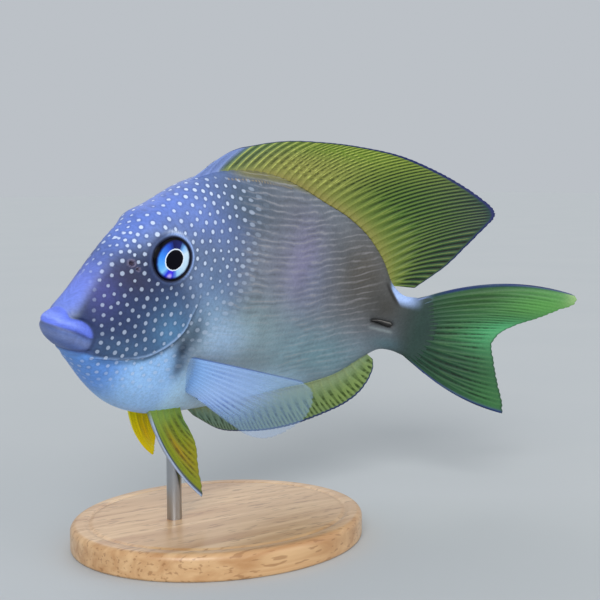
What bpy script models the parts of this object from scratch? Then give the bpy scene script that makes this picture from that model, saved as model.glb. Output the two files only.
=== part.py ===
"""Kole tang, a life-size still model of the living fish, held swimming on a plain display stand.

Lengths are metres and angles are radians, +Z up. The origin is the middle of the stand's
underside. The fish is first laid out straight, in fish coordinates, which are fractions of its
standard length (from the snout to the base of the tail fin):

    x  backwards from the snout,
    z  upwards from the axis of the tail stem,
    w  sideways, positive on the fish's left.

swim() bends that straight fish to its left and gives metres, and the empty "fish_pose" holds
the bent fish at its heading, pitch and bank above the stand.
"""

import math

import bmesh
import bpy
import numpy as np

# Driving dimensions
STANDARD_LENGTH = 0.115
GAP = 0.0003                       # air between neighbouring solids
FIN_WEB = 0.00054                  # thickness of a fin's skin between two rays
FIN_RAY = 0.00100                  # thickness over a ray near its root
FIN_EDGE = 0.00050                 # thickness at a fin's margin

# How the fish swims: the tail stem swings to the left, and the tail fin curls on after it
FLEX_START = 0.58
FLEX_END = 1.02
FLEX_ANGLE = math.radians(-48.1)
CURL_PER_LENGTH = -0.81
PATH_SPAN = (-0.2, 1.6)            # stretch of the bent centre line that is worked out
PATH_POINTS = 1801
POSE_HEADING = math.radians(21.0)
POSE_PITCH = math.radians(10.8)
POSE_BANK = math.radians(10.7)
BALANCE_X = 0.43                   # this point of the fish's axis stands over the middle of the stand

# Outline of the straight body: (x, z) of the back and the belly, (x, half width), (x, z of widest)
BACK = [(-0.008, -0.110), (0.0, -0.104), (0.02, -0.090), (0.045, -0.056), (0.08, 0.004), (0.12, 0.062),
        (0.16, 0.102), (0.21, 0.141), (0.26, 0.178), (0.32, 0.208), (0.40, 0.231), (0.50, 0.244),
        (0.60, 0.239), (0.70, 0.223), (0.79, 0.203), (0.85, 0.174), (0.90, 0.130), (0.935, 0.084),
        (0.965, 0.066), (1.0, 0.068)]
BELLY = [(-0.008, -0.124), (0.01, -0.136), (0.05, -0.158), (0.09, -0.186), (0.14, -0.221), (0.20, -0.251),
         (0.28, -0.266), (0.38, -0.262), (0.50, -0.247), (0.62, -0.226), (0.72, -0.201), (0.80, -0.175),
         (0.86, -0.142), (0.91, -0.093), (0.94, -0.068), (0.97, -0.063), (1.0, -0.067)]
HALF_WIDTH = [(-0.008, 0.024), (0.02, 0.033), (0.06, 0.042), (0.11, 0.054), (0.17, 0.067), (0.24, 0.076),
              (0.32, 0.082), (0.42, 0.081), (0.55, 0.072), (0.70, 0.055), (0.82, 0.040), (0.92, 0.030),
              (0.97, 0.022), (1.0, 0.012)]
WIDEST = [(-0.008, -0.117), (0.04, -0.122), (0.08, -0.128), (0.12, -0.108), (0.18, -0.062), (0.28, -0.022),
          (0.45, 0.0), (1.0, 0.0)]
# Fullness of a section above and below its widest line: under 1 is boxy, over 1 is keeled
FULL_ABOVE = [(-0.008, 0.9), (0.10, 0.70), (0.20, 0.72), (0.32, 1.05), (0.50, 1.2), (1.0, 1.1)]
FULL_BELOW = [(-0.008, 0.9), (0.10, 0.85), (0.25, 0.75), (0.38, 0.95), (0.50, 1.2), (1.0, 1.1)]

# Nodes of the body: the head ends at the gill opening, the tail stem starts before the spines
SNOUT_X = 0.0
SNOUT_ROUND = 0.032                # length over which the front of the lips rounds off
TAIL_STEM_X = 0.872
GILL_TOP_X = 0.305
GILL_SIDE_X = 0.292
GILL_THROAT_X = 0.122
GILL_BEND = (math.radians(100), math.radians(145))
GILL_GAP = 1.45 * GAP / STANDARD_LENGTH
GILL_MIDDLE_X = 0.235              # how far in the closed ends on both sides of the opening reach
GILL_CLOSE_SHARES = (0.75, 0.45, 0.15)

# Mouth, in fish coordinates
LIP_BACK = (0.024, 0.075, 0.056)   # x where the lips end: on top, at the side, below
LIP_SWEEP = 14                     # how sharply the upper lip's end sweeps back to the corner of the mouth
LIP_REACH = 1.22                   # the fine rings of the muzzle run on past the lips by this much
LIP_SWELL = 0.0040
LIP_SWELL_MIDDLE = 0.35            # share of the swell that is left on the midline
LIP_GROOVE = 0.0044
LIP_GROOVE_MIDDLE = 0.15
LIP_GROOVE_PLACE = (1.08, 0.11)    # its middle and its reach, where the lips end at 1
MOUTH_DEPTH = 0.0080
MOUTH_HALF_HEIGHT = 0.0040
MOUTH_CORNER = (0.80, 1.0)         # stretch of the lips over which the mouth line dies away

# Eyes and nostrils
EYE_CENTRE = (0.2015, 0.0365)
EYE_RADIUS = 0.047
EYE_DEPTH = 0.024
EYE_SUNK = 0.0145                  # how far the eyeball's middle lies below the skin
EYE_FORWARD = math.radians(13)
EYE_UPWARD = math.radians(6)
EYE_SHOWN = 0.80                   # share of the eyeball's radius that shows in its opening
ORBIT_RIM = 0.0032
ORBIT_RIM_PLACE = (1.15, 0.20)     # its middle and its reach, in radii of the opening
BROW = (0.176, 0.082)              # x and z of the ridge over the front of the eye
BROW_SIZE = 0.024
BROW_RISE = 0.0085
NOSTRILS = [((0.1230, 0.0145), (0.0060, 0.0050)), ((0.1370, 0.0080), (0.0038, 0.0032))]
NOSTRIL_DEPTH = 0.0045
GILL_COVER_STEP = 0.0036
GILL_COVER_REACH = 0.035           # length over which the cover rises to its edge
GILL_COVER_ABOVE = (math.radians(48), math.radians(75))
GILL_COVER_BELOW = (math.radians(112), math.radians(132))

# Scalpel-like spine on each side of the tail stem
SPINE_X = (0.897, 0.952)
SPINE_Z = -0.006
SPINE_HEIGHT = 0.0150
SPINE_THICKNESS = 0.0100
SPINE_TIP = 0.24                   # width of the spine's tip as a share of its base
SPINE_SUNK = 0.10                  # share of its thickness that lies under the skin's face

# Median fins: (x of a ray's root on the body, then x and z of its tip); rays between are blended
DORSAL_RAYS = [(0.262, 0.278, 0.197), (0.308, 0.355, 0.254), (0.365, 0.440, 0.288), (0.425, 0.530, 0.315),
               (0.505, 0.640, 0.338), (0.590, 0.760, 0.357), (0.665, 0.870, 0.366), (0.735, 0.955, 0.358),
               (0.790, 1.020, 0.344), (0.832, 1.075, 0.326), (0.863, 1.115, 0.306), (0.884, 1.121, 0.287),
               (0.900, 1.105, 0.258), (0.912, 1.075, 0.207), (0.924, 1.038, 0.148), (0.935, 0.986, 0.089)]
ANAL_RAYS = [(0.430, 0.462, -0.270), (0.490, 0.550, -0.296), (0.575, 0.642, -0.302), (0.660, 0.730, -0.291),
             (0.738, 0.808, -0.266), (0.795, 0.862, -0.236), (0.839, 0.902, -0.204), (0.869, 0.927, -0.170),
             (0.890, 0.939, -0.135), (0.904, 0.941, -0.110), (0.917, 0.935, -0.092)]
DORSAL_COUNT = 34                  # eight spines and twenty-six soft rays
ANAL_COUNT = 26                    # three spines and twenty-three soft rays
FIN_FOOT = 0.0022                  # thickness of the fleshy foot of a median fin
FIN_BOW = 0.05                     # how far a median fin's rays bow, as a share of their length
WEB_REACH = 0.985                  # the skin between two rays ends this far out along them
RIDGE_GAP = 1.3 * GAP              # under a median fin, clear of the facets of a hollow ridge line

# Tail fin: (x, z) of the ray tips from the upper lobe, round the fork, to the lower lobe
CAUDAL_TIPS = [(1.337, 0.166), (1.350, 0.161), (1.350, 0.150), (1.319, 0.124), (1.281, 0.095),
               (1.232, 0.063), (1.203, 0.036), (1.193, 0.012), (1.206, -0.024), (1.232, -0.078),
               (1.252, -0.115), (1.259, -0.138)]
CAUDAL_COUNT = 17
CAUDAL_ROOT_X = 1.0
CAUDAL_ROOT_Z = (0.064, -0.063)
CAUDAL_ROOT_CROWD = 0.75           # under 1 sets the rays' roots closer together in the lower half
CAUDAL_BOW = (0.032, -0.022)
CAUDAL_FOOT = 0.0020

# Paired fins: root line on the body and ray tips, as (x, z, w) of the left fin
PECTORAL_ROOT = [(0.312, -0.136), (0.330, -0.172), (0.350, -0.206)]
PECTORAL_TIPS = [(0.541, -0.141, 0.180), (0.567, -0.155, 0.192), (0.578, -0.185, 0.196),
                 (0.569, -0.217, 0.193), (0.544, -0.244, 0.181), (0.500, -0.266, 0.163),
                 (0.449, -0.261, 0.138), (0.405, -0.232, 0.118)]
PECTORAL_COUNT = 15
PECTORAL_FOOT = 0.0014
PECTORAL_SLANT = math.radians(30)  # between the fin's foot and the flank, seen from above
PECTORAL_GAP = 1.4 * GAP
PECTORAL_BOW = -0.006
PELVIC_ROOT_X = (0.286, 0.374)
PELVIC_ROOT_W = 0.027
PELVIC_TIPS_LEFT = [(0.466, -0.419, 0.073), (0.462, -0.394, 0.066), (0.452, -0.362, 0.057),
                    (0.437, -0.320, 0.044), (0.410, -0.283, 0.034)]
PELVIC_TIPS_RIGHT = [(0.442, -0.373, 0.059), (0.438, -0.360, 0.055), (0.430, -0.346, 0.050),
                     (0.418, -0.332, 0.046), (0.402, -0.312, 0.042)]
PELVIC_BOW_LEFT = (-0.016, -0.010, 0.0)
PELVIC_BOW_RIGHT = (-0.010, -0.012, 0.0)
PELVIC_COUNT = 6
PELVIC_FOOT = 0.0014
PELVIC_GAP = 1.3 * GAP
PELVIC_REAR_BOW = 0.2              # share of the bow that the rearmost ray keeps

# Stand: an oval plate and one upright rod bored into the plate and the belly
PLATE_LENGTH = 0.070
PLATE_WIDTH = 0.060
PLATE_THICKNESS = 0.006
PLATE_EDGE = 0.0012
FIN_CLEARANCE = 0.0045             # from the lowest fin tip down to the plate
ROD_RADIUS = 0.0017
ROD_X = 0.395                      # where the rod enters the belly, in fish coordinates
ROD_IN_BELLY = 0.007
ROD_IN_PLATE = 0.004

# Fineness of the meshes
MUZZLE_RINGS = 15
MUZZLE_FIRST = 0.06                # share of the muzzle before its first ring
MUZZLE_CROWD = 1.25                # over 1 sets its rings closer together in front
CHEEK_RINGS = 15
TORSO_RINGS = 17
TAIL_RINGS = 11
SECTION_POINTS = 48
DORSAL_ROWS = 7
ANAL_ROWS = 5
TAIL_FIN_ROWS = 8
PAIRED_FIN_ROWS = 6


def smooth_curve(stations):
    """Return a function that passes a smooth curve through (x, value) stations."""
    xs, ys = (np.array(column, dtype=float) for column in zip(*stations))
    steps = np.diff(xs)
    slopes = np.diff(ys) / steps
    tangents = np.empty_like(ys)
    tangents[0], tangents[-1] = slopes[0], slopes[-1]
    tangents[1:-1] = (slopes[:-1] * steps[1:] + slopes[1:] * steps[:-1]) / (steps[:-1] + steps[1:])

    def evaluate(x):
        x = np.asarray(x, dtype=float)
        i = np.clip(np.searchsorted(xs, x, side="right") - 1, 0, len(steps) - 1)
        t = np.clip((x - xs[i]) / steps[i], 0.0, 1.0)
        rise = t * t * (3.0 - 2.0 * t)
        bend_in = t * (1.0 - t) ** 2
        bend_out = -t * t * (1.0 - t)
        value = (1.0 - rise) * ys[i] + rise * ys[i + 1]
        return value + steps[i] * (bend_in * tangents[i] + bend_out * tangents[i + 1])

    return evaluate


back_z = smooth_curve(BACK)
belly_z = smooth_curve(BELLY)
half_width = smooth_curve(HALF_WIDTH)
widest_z = smooth_curve(WIDEST)
full_above = smooth_curve(FULL_ABOVE)
full_below = smooth_curve(FULL_BELOW)


def smoothstep(value, low, high):
    """Return a smooth rise from 0 at low to 1 at high."""
    t = np.clip((value - low) / (high - low), 0.0, 1.0)
    return t * t * (3.0 - 2.0 * t)


def nose_scale(x):
    """Return the share of its full section that the body has at x: the snout rounds off."""
    t = np.clip((x - SNOUT_X) / SNOUT_ROUND, 0.0, 1.0)
    return np.sqrt(np.maximum(1.0 - (1.0 - t) ** 2, 0.0))


def section_point(x, angle):
    """Return the smooth body's (x, z, w) at an angle round its section, 0 on the back."""
    x, angle = np.broadcast_arrays(np.asarray(x, dtype=float), angle)
    middle = widest_z(x)
    cosine, sine = np.cos(angle), np.sin(angle)
    reach = np.where(cosine > 0.0, back_z(x) - middle, middle - belly_z(x))
    power = np.where(cosine > 0.0, full_above(x), full_below(x))
    z = middle + reach * cosine * nose_scale(x)
    w = half_width(x) * np.sign(sine) * np.abs(sine) ** power * nose_scale(x)
    return np.stack([x, z, w], axis=-1)


def edge_height(x, w, upper):
    """Return z of the smooth body's back (upper) or belly at a sideways distance w."""
    x, w = np.broadcast_arrays(np.asarray(x, dtype=float), w)
    power = full_above(x) if upper else full_below(x)
    sine = np.clip(np.abs(w) / half_width(x), 0.0, 1.0) ** (1.0 / power)
    end = back_z(x) if upper else belly_z(x)
    return widest_z(x) + (end - widest_z(x)) * np.sqrt(1.0 - sine ** 2)


def flank_width(x, z):
    """Return the smooth body's half width at a height z."""
    x, z = np.broadcast_arrays(np.asarray(x, dtype=float), z)
    above = z > widest_z(x)
    end = np.where(above, back_z(x), belly_z(x))
    power = np.where(above, full_above(x), full_below(x))
    cosine = np.clip((z - widest_z(x)) / (end - widest_z(x)), 0.0, 1.0)
    return half_width(x) * np.sqrt(1.0 - cosine ** 2) ** power


def gill_edge(angle):
    """Return x of the gill opening at an angle round the section."""
    folded = np.arccos(np.cos(angle))
    side = GILL_TOP_X + (GILL_SIDE_X - GILL_TOP_X) * np.clip(folded / (math.pi / 2), 0.0, 1.0)
    return side + (GILL_THROAT_X - GILL_SIDE_X) * smoothstep(folded, *GILL_BEND)


def lip_back(angle):
    """Return x where the lips end, at an angle round the section."""
    over, side, under = LIP_BACK
    sine = np.abs(np.sin(angle))
    above = over + (side - over) * sine ** LIP_SWEEP
    return np.where(np.cos(angle) > 0.0, above, under + (side - under) * sine)


def bump(value, middle, reach):
    """Return a smooth bump: 1 at the middle, dying away over the reach on both sides."""
    return np.exp(-((value - middle) / reach) ** 2)


def head_relief(points, angle):
    """Return how far the head's skin stands out from the smooth body: lips, orbits, gill covers."""
    x, z = points[..., 0], points[..., 1]
    along = (x - SNOUT_X) / (lip_back(angle) - SNOUT_X)
    aside = np.abs(np.sin(angle)) ** 1.5
    swell = LIP_SWELL_MIDDLE + (1.0 - LIP_SWELL_MIDDLE) * aside
    lips = LIP_SWELL * swell * np.sin(math.pi * np.clip(along, 0.0, 1.0))
    deep = LIP_GROOVE_MIDDLE + (1.0 - LIP_GROOVE_MIDDLE) * aside
    groove = LIP_GROOVE * deep * bump(along, *LIP_GROOVE_PLACE)
    slit = bump(z, widest_z(x), MOUTH_HALF_HEIGHT) * (1.0 - smoothstep(along, *MOUTH_CORNER))
    ring = np.hypot(x - EYE_CENTRE[0], z - EYE_CENTRE[1]) / (EYE_RADIUS * EYE_SHOWN)
    orbit = ORBIT_RIM * bump(ring, *ORBIT_RIM_PLACE)
    brow = BROW_RISE * bump(x, BROW[0], BROW_SIZE) * bump(z, BROW[1], BROW_SIZE)
    folded = np.arccos(np.cos(angle))
    window = smoothstep(folded, *GILL_COVER_ABOVE) * (1.0 - smoothstep(folded, *GILL_COVER_BELOW))
    cover = GILL_COVER_STEP * window * np.exp(-np.clip(gill_edge(angle) - x, 0.0, 1.0) / GILL_COVER_REACH)
    return lips - groove - MOUTH_DEPTH * slit + orbit + brow + cover


def push_out(points, amount):
    """Move a grid of points (rings by angle) along its outward normals by amount."""
    along = np.gradient(points, axis=0)
    wrapped = np.concatenate([points[:, -1:], points, points[:, :1]], axis=1)
    around = (wrapped[:, 2:] - wrapped[:, :-2]) / 2.0
    normal = np.cross(around, along)
    normal /= np.linalg.norm(normal, axis=-1, keepdims=True) + 1e-12
    outward = points[:, :, 1:] - points.mean(axis=1, keepdims=True)[:, :, 1:]
    flip = np.sign(np.sum(normal[:, :, 1:] * outward, axis=(1, 2)))
    return points + normal * flip[:, None, None] * amount[..., None]


def swim_path():
    """Return (x, across, heading) of the bent centre line as tables over fish x."""
    t = np.linspace(*PATH_SPAN, PATH_POINTS)
    heading = FLEX_ANGLE * smoothstep(t, FLEX_START, FLEX_END) + CURL_PER_LENGTH * np.clip(t - 1.0, 0.0, 1.0)
    step = np.diff(t)
    along = np.concatenate([[0.0], np.cumsum((np.cos(heading[1:]) + np.cos(heading[:-1])) / 2 * step)])
    across = np.concatenate([[0.0], np.cumsum((np.sin(heading[1:]) + np.sin(heading[:-1])) / 2 * step)])
    return t, along - np.interp(0.0, t, along), across - np.interp(0.0, t, across), heading


PATH_T, PATH_ALONG, PATH_ACROSS, PATH_HEADING = swim_path()


def swim(points):
    """Bend fish coordinates (x, z, w) to the left and return metres, head towards -X."""
    x, z, w = points[..., 0], points[..., 1], points[..., 2]
    heading = np.interp(x, PATH_T, PATH_HEADING)
    bent_x = np.interp(x, PATH_T, PATH_ALONG) + w * np.sin(heading)
    bent_y = np.interp(x, PATH_T, PATH_ACROSS) - w * np.cos(heading)
    return np.stack([bent_x, bent_y, z], axis=-1) * STANDARD_LENGTH


def fish_matrix():
    """Return the pose as a matrix: heading about Z, then pitch about Y, then bank about X."""
    cz, sz = math.cos(POSE_HEADING), math.sin(POSE_HEADING)
    cy, sy = math.cos(POSE_PITCH), math.sin(POSE_PITCH)
    cx, sx = math.cos(POSE_BANK), math.sin(POSE_BANK)
    turn = np.array([[cz, -sz, 0.0], [sz, cz, 0.0], [0.0, 0.0, 1.0]])
    pitch = np.array([[cy, 0.0, sy], [0.0, 1.0, 0.0], [-sy, 0.0, cy]])
    bank = np.array([[1.0, 0.0, 0.0], [0.0, cx, -sx], [0.0, sx, cx]])
    return turn @ pitch @ bank


def start_scene():
    """Empty the scene and return the collections for the parts and for the cutters."""
    for item in list(bpy.data.objects):
        bpy.data.objects.remove(item, do_unlink=True)
    made = []
    for name in ("kole_tang", "cutters"):
        collection = bpy.data.collections.new(name)
        bpy.context.scene.collection.children.link(collection)
        made.append(collection)
    return made


PARTS, CUTTERS = start_scene()


def material(name, colour, roughness, metallic=0.0):
    """Return a Principled material with a colour, a roughness and a metallic value."""
    made = bpy.data.materials.new(name)
    made.use_nodes = True
    shader = made.node_tree.nodes["Principled BSDF"]
    shader.inputs["Base Color"].default_value = (*colour, 1.0)
    shader.inputs["Roughness"].default_value = roughness
    shader.inputs["Metallic"].default_value = metallic
    return made


def add_object(name, mesh, parent, finish=None):
    """Add a mesh as an object: a part when it has a finish, and otherwise a hidden cutter."""
    made = bpy.data.objects.new(name, mesh)
    made.parent = parent
    (PARTS if finish else CUTTERS).objects.link(made)
    if finish:
        mesh.materials.append(finish)
    else:
        made.hide_render = True
        made.display_type = "WIRE"
    return made


def mesh_from(name, points, triangles):
    """Return a smooth-shaded mesh whose faces point outwards."""
    mesh = bpy.data.meshes.new(name)
    mesh.from_pydata(points.tolist(), [], triangles)
    work = bmesh.new()
    work.from_mesh(mesh)
    bmesh.ops.recalc_face_normals(work, faces=work.faces)
    work.to_mesh(mesh)
    work.free()
    mesh.shade_smooth()
    mesh.set_sharp_from_angle(angle=math.radians(50))
    return mesh


def adopt_primitive(name, parent, finish, angle=50):
    """Take the primitive just added into the model as a part or a cutter."""
    made = bpy.context.active_object
    made.name = name
    made.parent = parent
    for collection in list(made.users_collection):
        collection.objects.unlink(made)
    (PARTS if finish else CUTTERS).objects.link(made)
    if finish:
        made.data.materials.append(finish)
        made.data.shade_smooth()
        made.data.set_sharp_from_angle(angle=math.radians(angle))
    else:
        made.hide_render = True
        made.display_type = "WIRE"
    return made


def cut(target, cutter):
    """Cut one object out of another with a Boolean modifier."""
    modifier = target.modifiers.new("cut_" + cutter.name, "BOOLEAN")
    modifier.operation = "DIFFERENCE"
    modifier.object = cutter
    return modifier


def loft(name, rings):
    """Return a closed mesh through rings of points: each end closes on its middle point."""
    count, around = rings.shape[:2]
    points = np.concatenate([rings.reshape(-1, 3), rings[[0, -1]].mean(axis=1)])
    first, last = count * around, count * around + 1
    triangles = []
    for k in range(around):
        after = (k + 1) % around
        triangles.append((first, k, after))
        triangles.append((last, (count - 1) * around + after, (count - 1) * around + k))
        for ring in range(count - 1):
            a, b = ring * around + k, ring * around + after
            c, d = a + around, b + around
            triangles += [(a, c, d), (a, d, b)]
    return mesh_from(name, points, triangles)


def cap_rings(edge, middle, shares):
    """Return rings that close an end inwards from its edge ring to near its middle point."""
    return np.stack([middle + (edge - middle) * share for share in shares])


def stations_between(start, end, shares):
    """Return x for rings at shares of the way between two lines round the body."""
    return start + (end - start) * np.asarray(shares)[:, None]


def gill_rings(edge, shift):
    """Return rings that close the body inwards from the gill opening, moved back by shift."""
    middle = np.array([GILL_MIDDLE_X + shift, widest_z(GILL_MIDDLE_X), 0.0])
    return cap_rings(edge, middle, GILL_CLOSE_SHARES)


def build_body(pose):
    """Build the head with its mouth and gill covers, the torso and the tail stem."""
    violet = material("head_skin", (0.20, 0.19, 0.42), 0.5)
    grey = material("torso_skin", (0.30, 0.29, 0.34), 0.5)
    brown = material("tail_stem_skin", (0.24, 0.23, 0.22), 0.5)
    angle = np.arange(SECTION_POINTS) * 2.0 * math.pi / SECTION_POINTS
    level = 0.0 * angle

    lips_end = SNOUT_X + (lip_back(angle) - SNOUT_X) * LIP_REACH
    shares = np.linspace(MUZZLE_FIRST, 1.0, MUZZLE_RINGS) ** MUZZLE_CROWD
    muzzle = stations_between(SNOUT_X + level, lips_end, shares)
    cheek = stations_between(lips_end, gill_edge(angle), np.linspace(0.0, 1.0, CHEEK_RINGS + 1)[1:])
    x = np.concatenate([muzzle, cheek])
    points = section_point(x, np.broadcast_to(angle, x.shape))
    points = push_out(points, head_relief(points, np.broadcast_to(angle, x.shape)))
    points = np.concatenate([points, gill_rings(points[-1], 0.0)])
    head = add_object("head", loft("head", swim(points)), pose, violet)

    shares = np.linspace(0.0, 1.0, TORSO_RINGS)
    x = stations_between(gill_edge(angle) + GILL_GAP, TAIL_STEM_X + level, shares)
    points = section_point(x, np.broadcast_to(angle, x.shape))
    points = np.concatenate([gill_rings(points[0], GILL_GAP)[::-1], points])
    torso = add_object("torso", loft("torso", swim(points)), pose, grey)

    shares = np.linspace(0.0, 1.0, TAIL_RINGS)
    x = stations_between(TAIL_STEM_X + GAP / STANDARD_LENGTH + level, 1.0 + level, shares)
    points = section_point(x, np.broadcast_to(angle, x.shape))
    tail = add_object("tail_stem", loft("tail_stem", swim(points)), pose, brown)
    return head, torso, tail


def eye_place(side):
    """Return an eyeball's middle and its outward direction, in fish coordinates (x, z, w)."""
    x, z = EYE_CENTRE
    forward, upward = math.sin(EYE_FORWARD), math.sin(EYE_UPWARD)
    outward = np.array([-forward, upward, math.sqrt(1.0 - forward ** 2 - upward ** 2)])
    middle = np.array([x, z, float(flank_width(x, z))]) - outward * EYE_SUNK
    return middle * (1, 1, side), outward * (1, 1, side)


def ball(name, middle, outward, radii, parent, finish, segments=22, rings=12):
    """Add an ellipsoid with its short axis along outward; middle is in fish coordinates."""
    bpy.ops.mesh.primitive_uv_sphere_add(segments=segments, ring_count=rings, radius=1.0)
    made = adopt_primitive(name, parent, finish)
    place = swim(middle)
    ahead = swim(middle + outward * 0.01) - place
    made.location = place.tolist()
    direction = ahead / np.linalg.norm(ahead)
    made.rotation_euler = (0.0, math.acos(direction[2]), math.atan2(direction[1], direction[0]))
    made.scale = radii
    return made


def build_eyes(head, pose):
    """Build both eyeballs, and cut their sockets and the nostrils into the head."""
    iris = material("eye", (0.05, 0.10, 0.45), 0.15)
    radius, depth = EYE_RADIUS * STANDARD_LENGTH, EYE_DEPTH * STANDARD_LENGTH
    for side, label in ((1, "left"), (-1, "right")):
        middle, outward = eye_place(side)
        ball("eye_" + label, middle, outward, (radius, radius, depth), pose, iris)
        socket = ball("socket_" + label, middle, outward, (radius + GAP, radius + GAP, depth + GAP),
                      pose, None)
        cut(head, socket)
        for number, ((x, z), (length, height)) in enumerate(NOSTRILS):
            rim = np.array([x, z, float(flank_width(x, z)) + 0.001]) * (1, 1, side)
            size = (height * STANDARD_LENGTH, length * STANDARD_LENGTH, NOSTRIL_DEPTH * STANDARD_LENGTH)
            hole = ball(f"nostril_{label}_{number}", rim, outward, size, pose, None, 10, 6)
            cut(head, hole)


def build_spines(tail, pose):
    """Build the folded spine on each side of the tail stem, lying in its groove."""
    bone = material("tail_spine", (0.10, 0.09, 0.09), 0.4)
    front, rear = SPINE_X
    for side, label in ((1, "left"), (-1, "right")):
        x = (front + rear) / 2
        w = float(flank_width(x, SPINE_Z))
        ends = swim(np.array([[front, SPINE_Z, side * w], [rear, SPINE_Z, side * w]]))
        direction = (ends[1] - ends[0]) / np.linalg.norm(ends[1] - ends[0])
        turn = (0.0, math.pi / 2, math.atan2(direction[1], direction[0]))
        place = swim(np.array([x, SPINE_Z, side * (w - SPINE_SUNK * SPINE_THICKNESS)]))
        for name, finish, extra in (("tail_spine_" + label, bone, 0.0), ("groove_" + label, None, GAP)):
            length = (rear - front) * STANDARD_LENGTH + 2 * extra
            bpy.ops.mesh.primitive_cone_add(vertices=12, radius1=0.5, radius2=0.5 * SPINE_TIP, depth=1.0)
            made = adopt_primitive(name, pose, finish)
            made.location = place.tolist()
            made.rotation_euler = (turn[0], -turn[1], turn[2])
            made.scale = (SPINE_HEIGHT * STANDARD_LENGTH + 2 * extra,
                          SPINE_THICKNESS * STANDARD_LENGTH + 2 * extra, length)
        cut(tail, made)


def blade(name, roots, tips, bows, foot, finish, parent, normals=None, crest=None,
          rows=PAIRED_FIN_ROWS):
    """Build a fin as one closed sheet whose rays are raised in its own surface.

    roots, tips and bows hold one row of fish coordinates for each ray. A column of thinner skin
    lies between each two rays. foot holds the two edge lines where the fin meets the body, and
    crest, if given, the line between them. normals are the sheet's directions, sideways unless given.
    """
    def with_webs(values):
        between = (values[:-1] + values[1:]) / 2
        both = np.empty((len(values) + len(between), values.shape[-1]))
        both[0::2], both[1::2] = values, between
        return both

    root, tip, bow = with_webs(roots), with_webs(tips), with_webs(bows)
    tip[1::2] = root[1::2] + (tip[1::2] - root[1::2]) * WEB_REACH
    columns = len(root)
    share = (np.arange(rows + 1) / rows)[None, :, None]
    centre = root[:, None] + (tip - root)[:, None] * share + bow[:, None] * 4 * share * (1 - share)
    if normals is None:
        normal = np.broadcast_to(np.array([0.0, 0.0, 1.0]), centre.shape)
    else:
        normal = np.broadcast_to(with_webs(normals)[:, None], centre.shape)
        normal = normal / np.linalg.norm(normal, axis=-1, keepdims=True)
    is_ray = (np.arange(columns) % 2 == 0)[:, None, None]
    over_ray = FIN_RAY + (FIN_EDGE - FIN_RAY) * share ** 1.5
    ridge = np.where(is_ray, over_ray, FIN_WEB + (FIN_EDGE - FIN_WEB) * share)
    half = ridge / 2 / STANDARD_LENGTH
    outer, inner = centre + normal * half, centre - normal * half
    outer[:, 0], inner[:, 0] = with_webs(foot[0]), with_webs(foot[1])
    points = [outer.reshape(-1, 3), inner.reshape(-1, 3)]
    if crest is not None:
        points.append(with_webs(crest))
    line = rows + 1
    back = columns * line
    triangles = []
    for i in range(columns - 1):
        a, b = i * line, (i + 1) * line
        for j in range(rows):
            triangles += [(a + j, b + j, b + j + 1), (a + j, b + j + 1, a + j + 1)]
            triangles += [(back + a + j, back + b + j + 1, back + b + j)]
            triangles += [(back + a + j, back + a + j + 1, back + b + j + 1)]
        triangles += [(a + rows, b + rows, back + b + rows), (a + rows, back + b + rows, back + a + rows)]
        if crest is None:
            triangles += [(a, back + a, back + b), (a, back + b, b)]
        else:
            low, high = 2 * back + i, 2 * back + i + 1
            triangles += [(a, low, high), (a, high, b), (low, back + a, back + b), (low, back + b, high)]
    for i in (0, columns - 1):
        a = i * line
        for j in range(rows):
            triangles += [(a + j, a + j + 1, back + a + j + 1), (a + j, back + a + j + 1, back + a + j)]
        if crest is not None:
            triangles.append((a, back + a, 2 * back + i))
    made = mesh_from(name, swim(np.concatenate(points)), triangles)
    return add_object(name, made, parent, finish)


def spread(keys, count):
    """Return count rows blended smoothly from key rows, evenly along the first two columns."""
    keys = np.array(keys, dtype=float)
    along = np.concatenate([[0.0], np.cumsum(np.hypot(*np.diff(keys[:, :2], axis=0).T))])
    at = np.linspace(0.0, along[-1], count)
    return np.stack([smooth_curve(list(zip(along, column)))(at) for column in keys.T], axis=-1)


def ridge_line(x, w, upper):
    """Return points just clear of the back (upper) or belly, at a sideways distance w."""
    step = 0.002
    slope = (edge_height(x + step, w, upper) - edge_height(x - step, w, upper)) / (2 * step)
    out = RIDGE_GAP / STANDARD_LENGTH * (1.0 if upper else -1.0) / np.sqrt(1.0 + slope ** 2)
    return np.column_stack([x - slope * out, edge_height(x, w, upper) + out, w + 0.0 * x])


def ridge_fin(name, keys, count, upper, finish, parent, rows):
    """Build the dorsal (upper) or anal fin along the body's ridge from its key rays."""
    keys = np.array(keys)
    height = back_z(keys[:, 0]) if upper else belly_z(keys[:, 0])
    rays = spread(np.column_stack([keys[:, 0], height, keys[:, 1:]]), count)
    away = 1.0 if upper else -1.0
    reach = FIN_FOOT / 2 / STANDARD_LENGTH
    none = np.zeros(count)
    crest, left, right = (ridge_line(rays[:, 0], w, upper) for w in (0.0, reach, -reach))
    foot = (left, right)
    tips = np.column_stack([rays[:, 2], rays[:, 3], none])
    lean = tips - crest
    bows = np.column_stack([-lean[:, 1], lean[:, 0], none]) * FIN_BOW * away
    bows[0] = bows[-1] = 0.0
    return blade(name, crest, tips, bows, foot, finish, parent, crest=crest, rows=rows)


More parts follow.
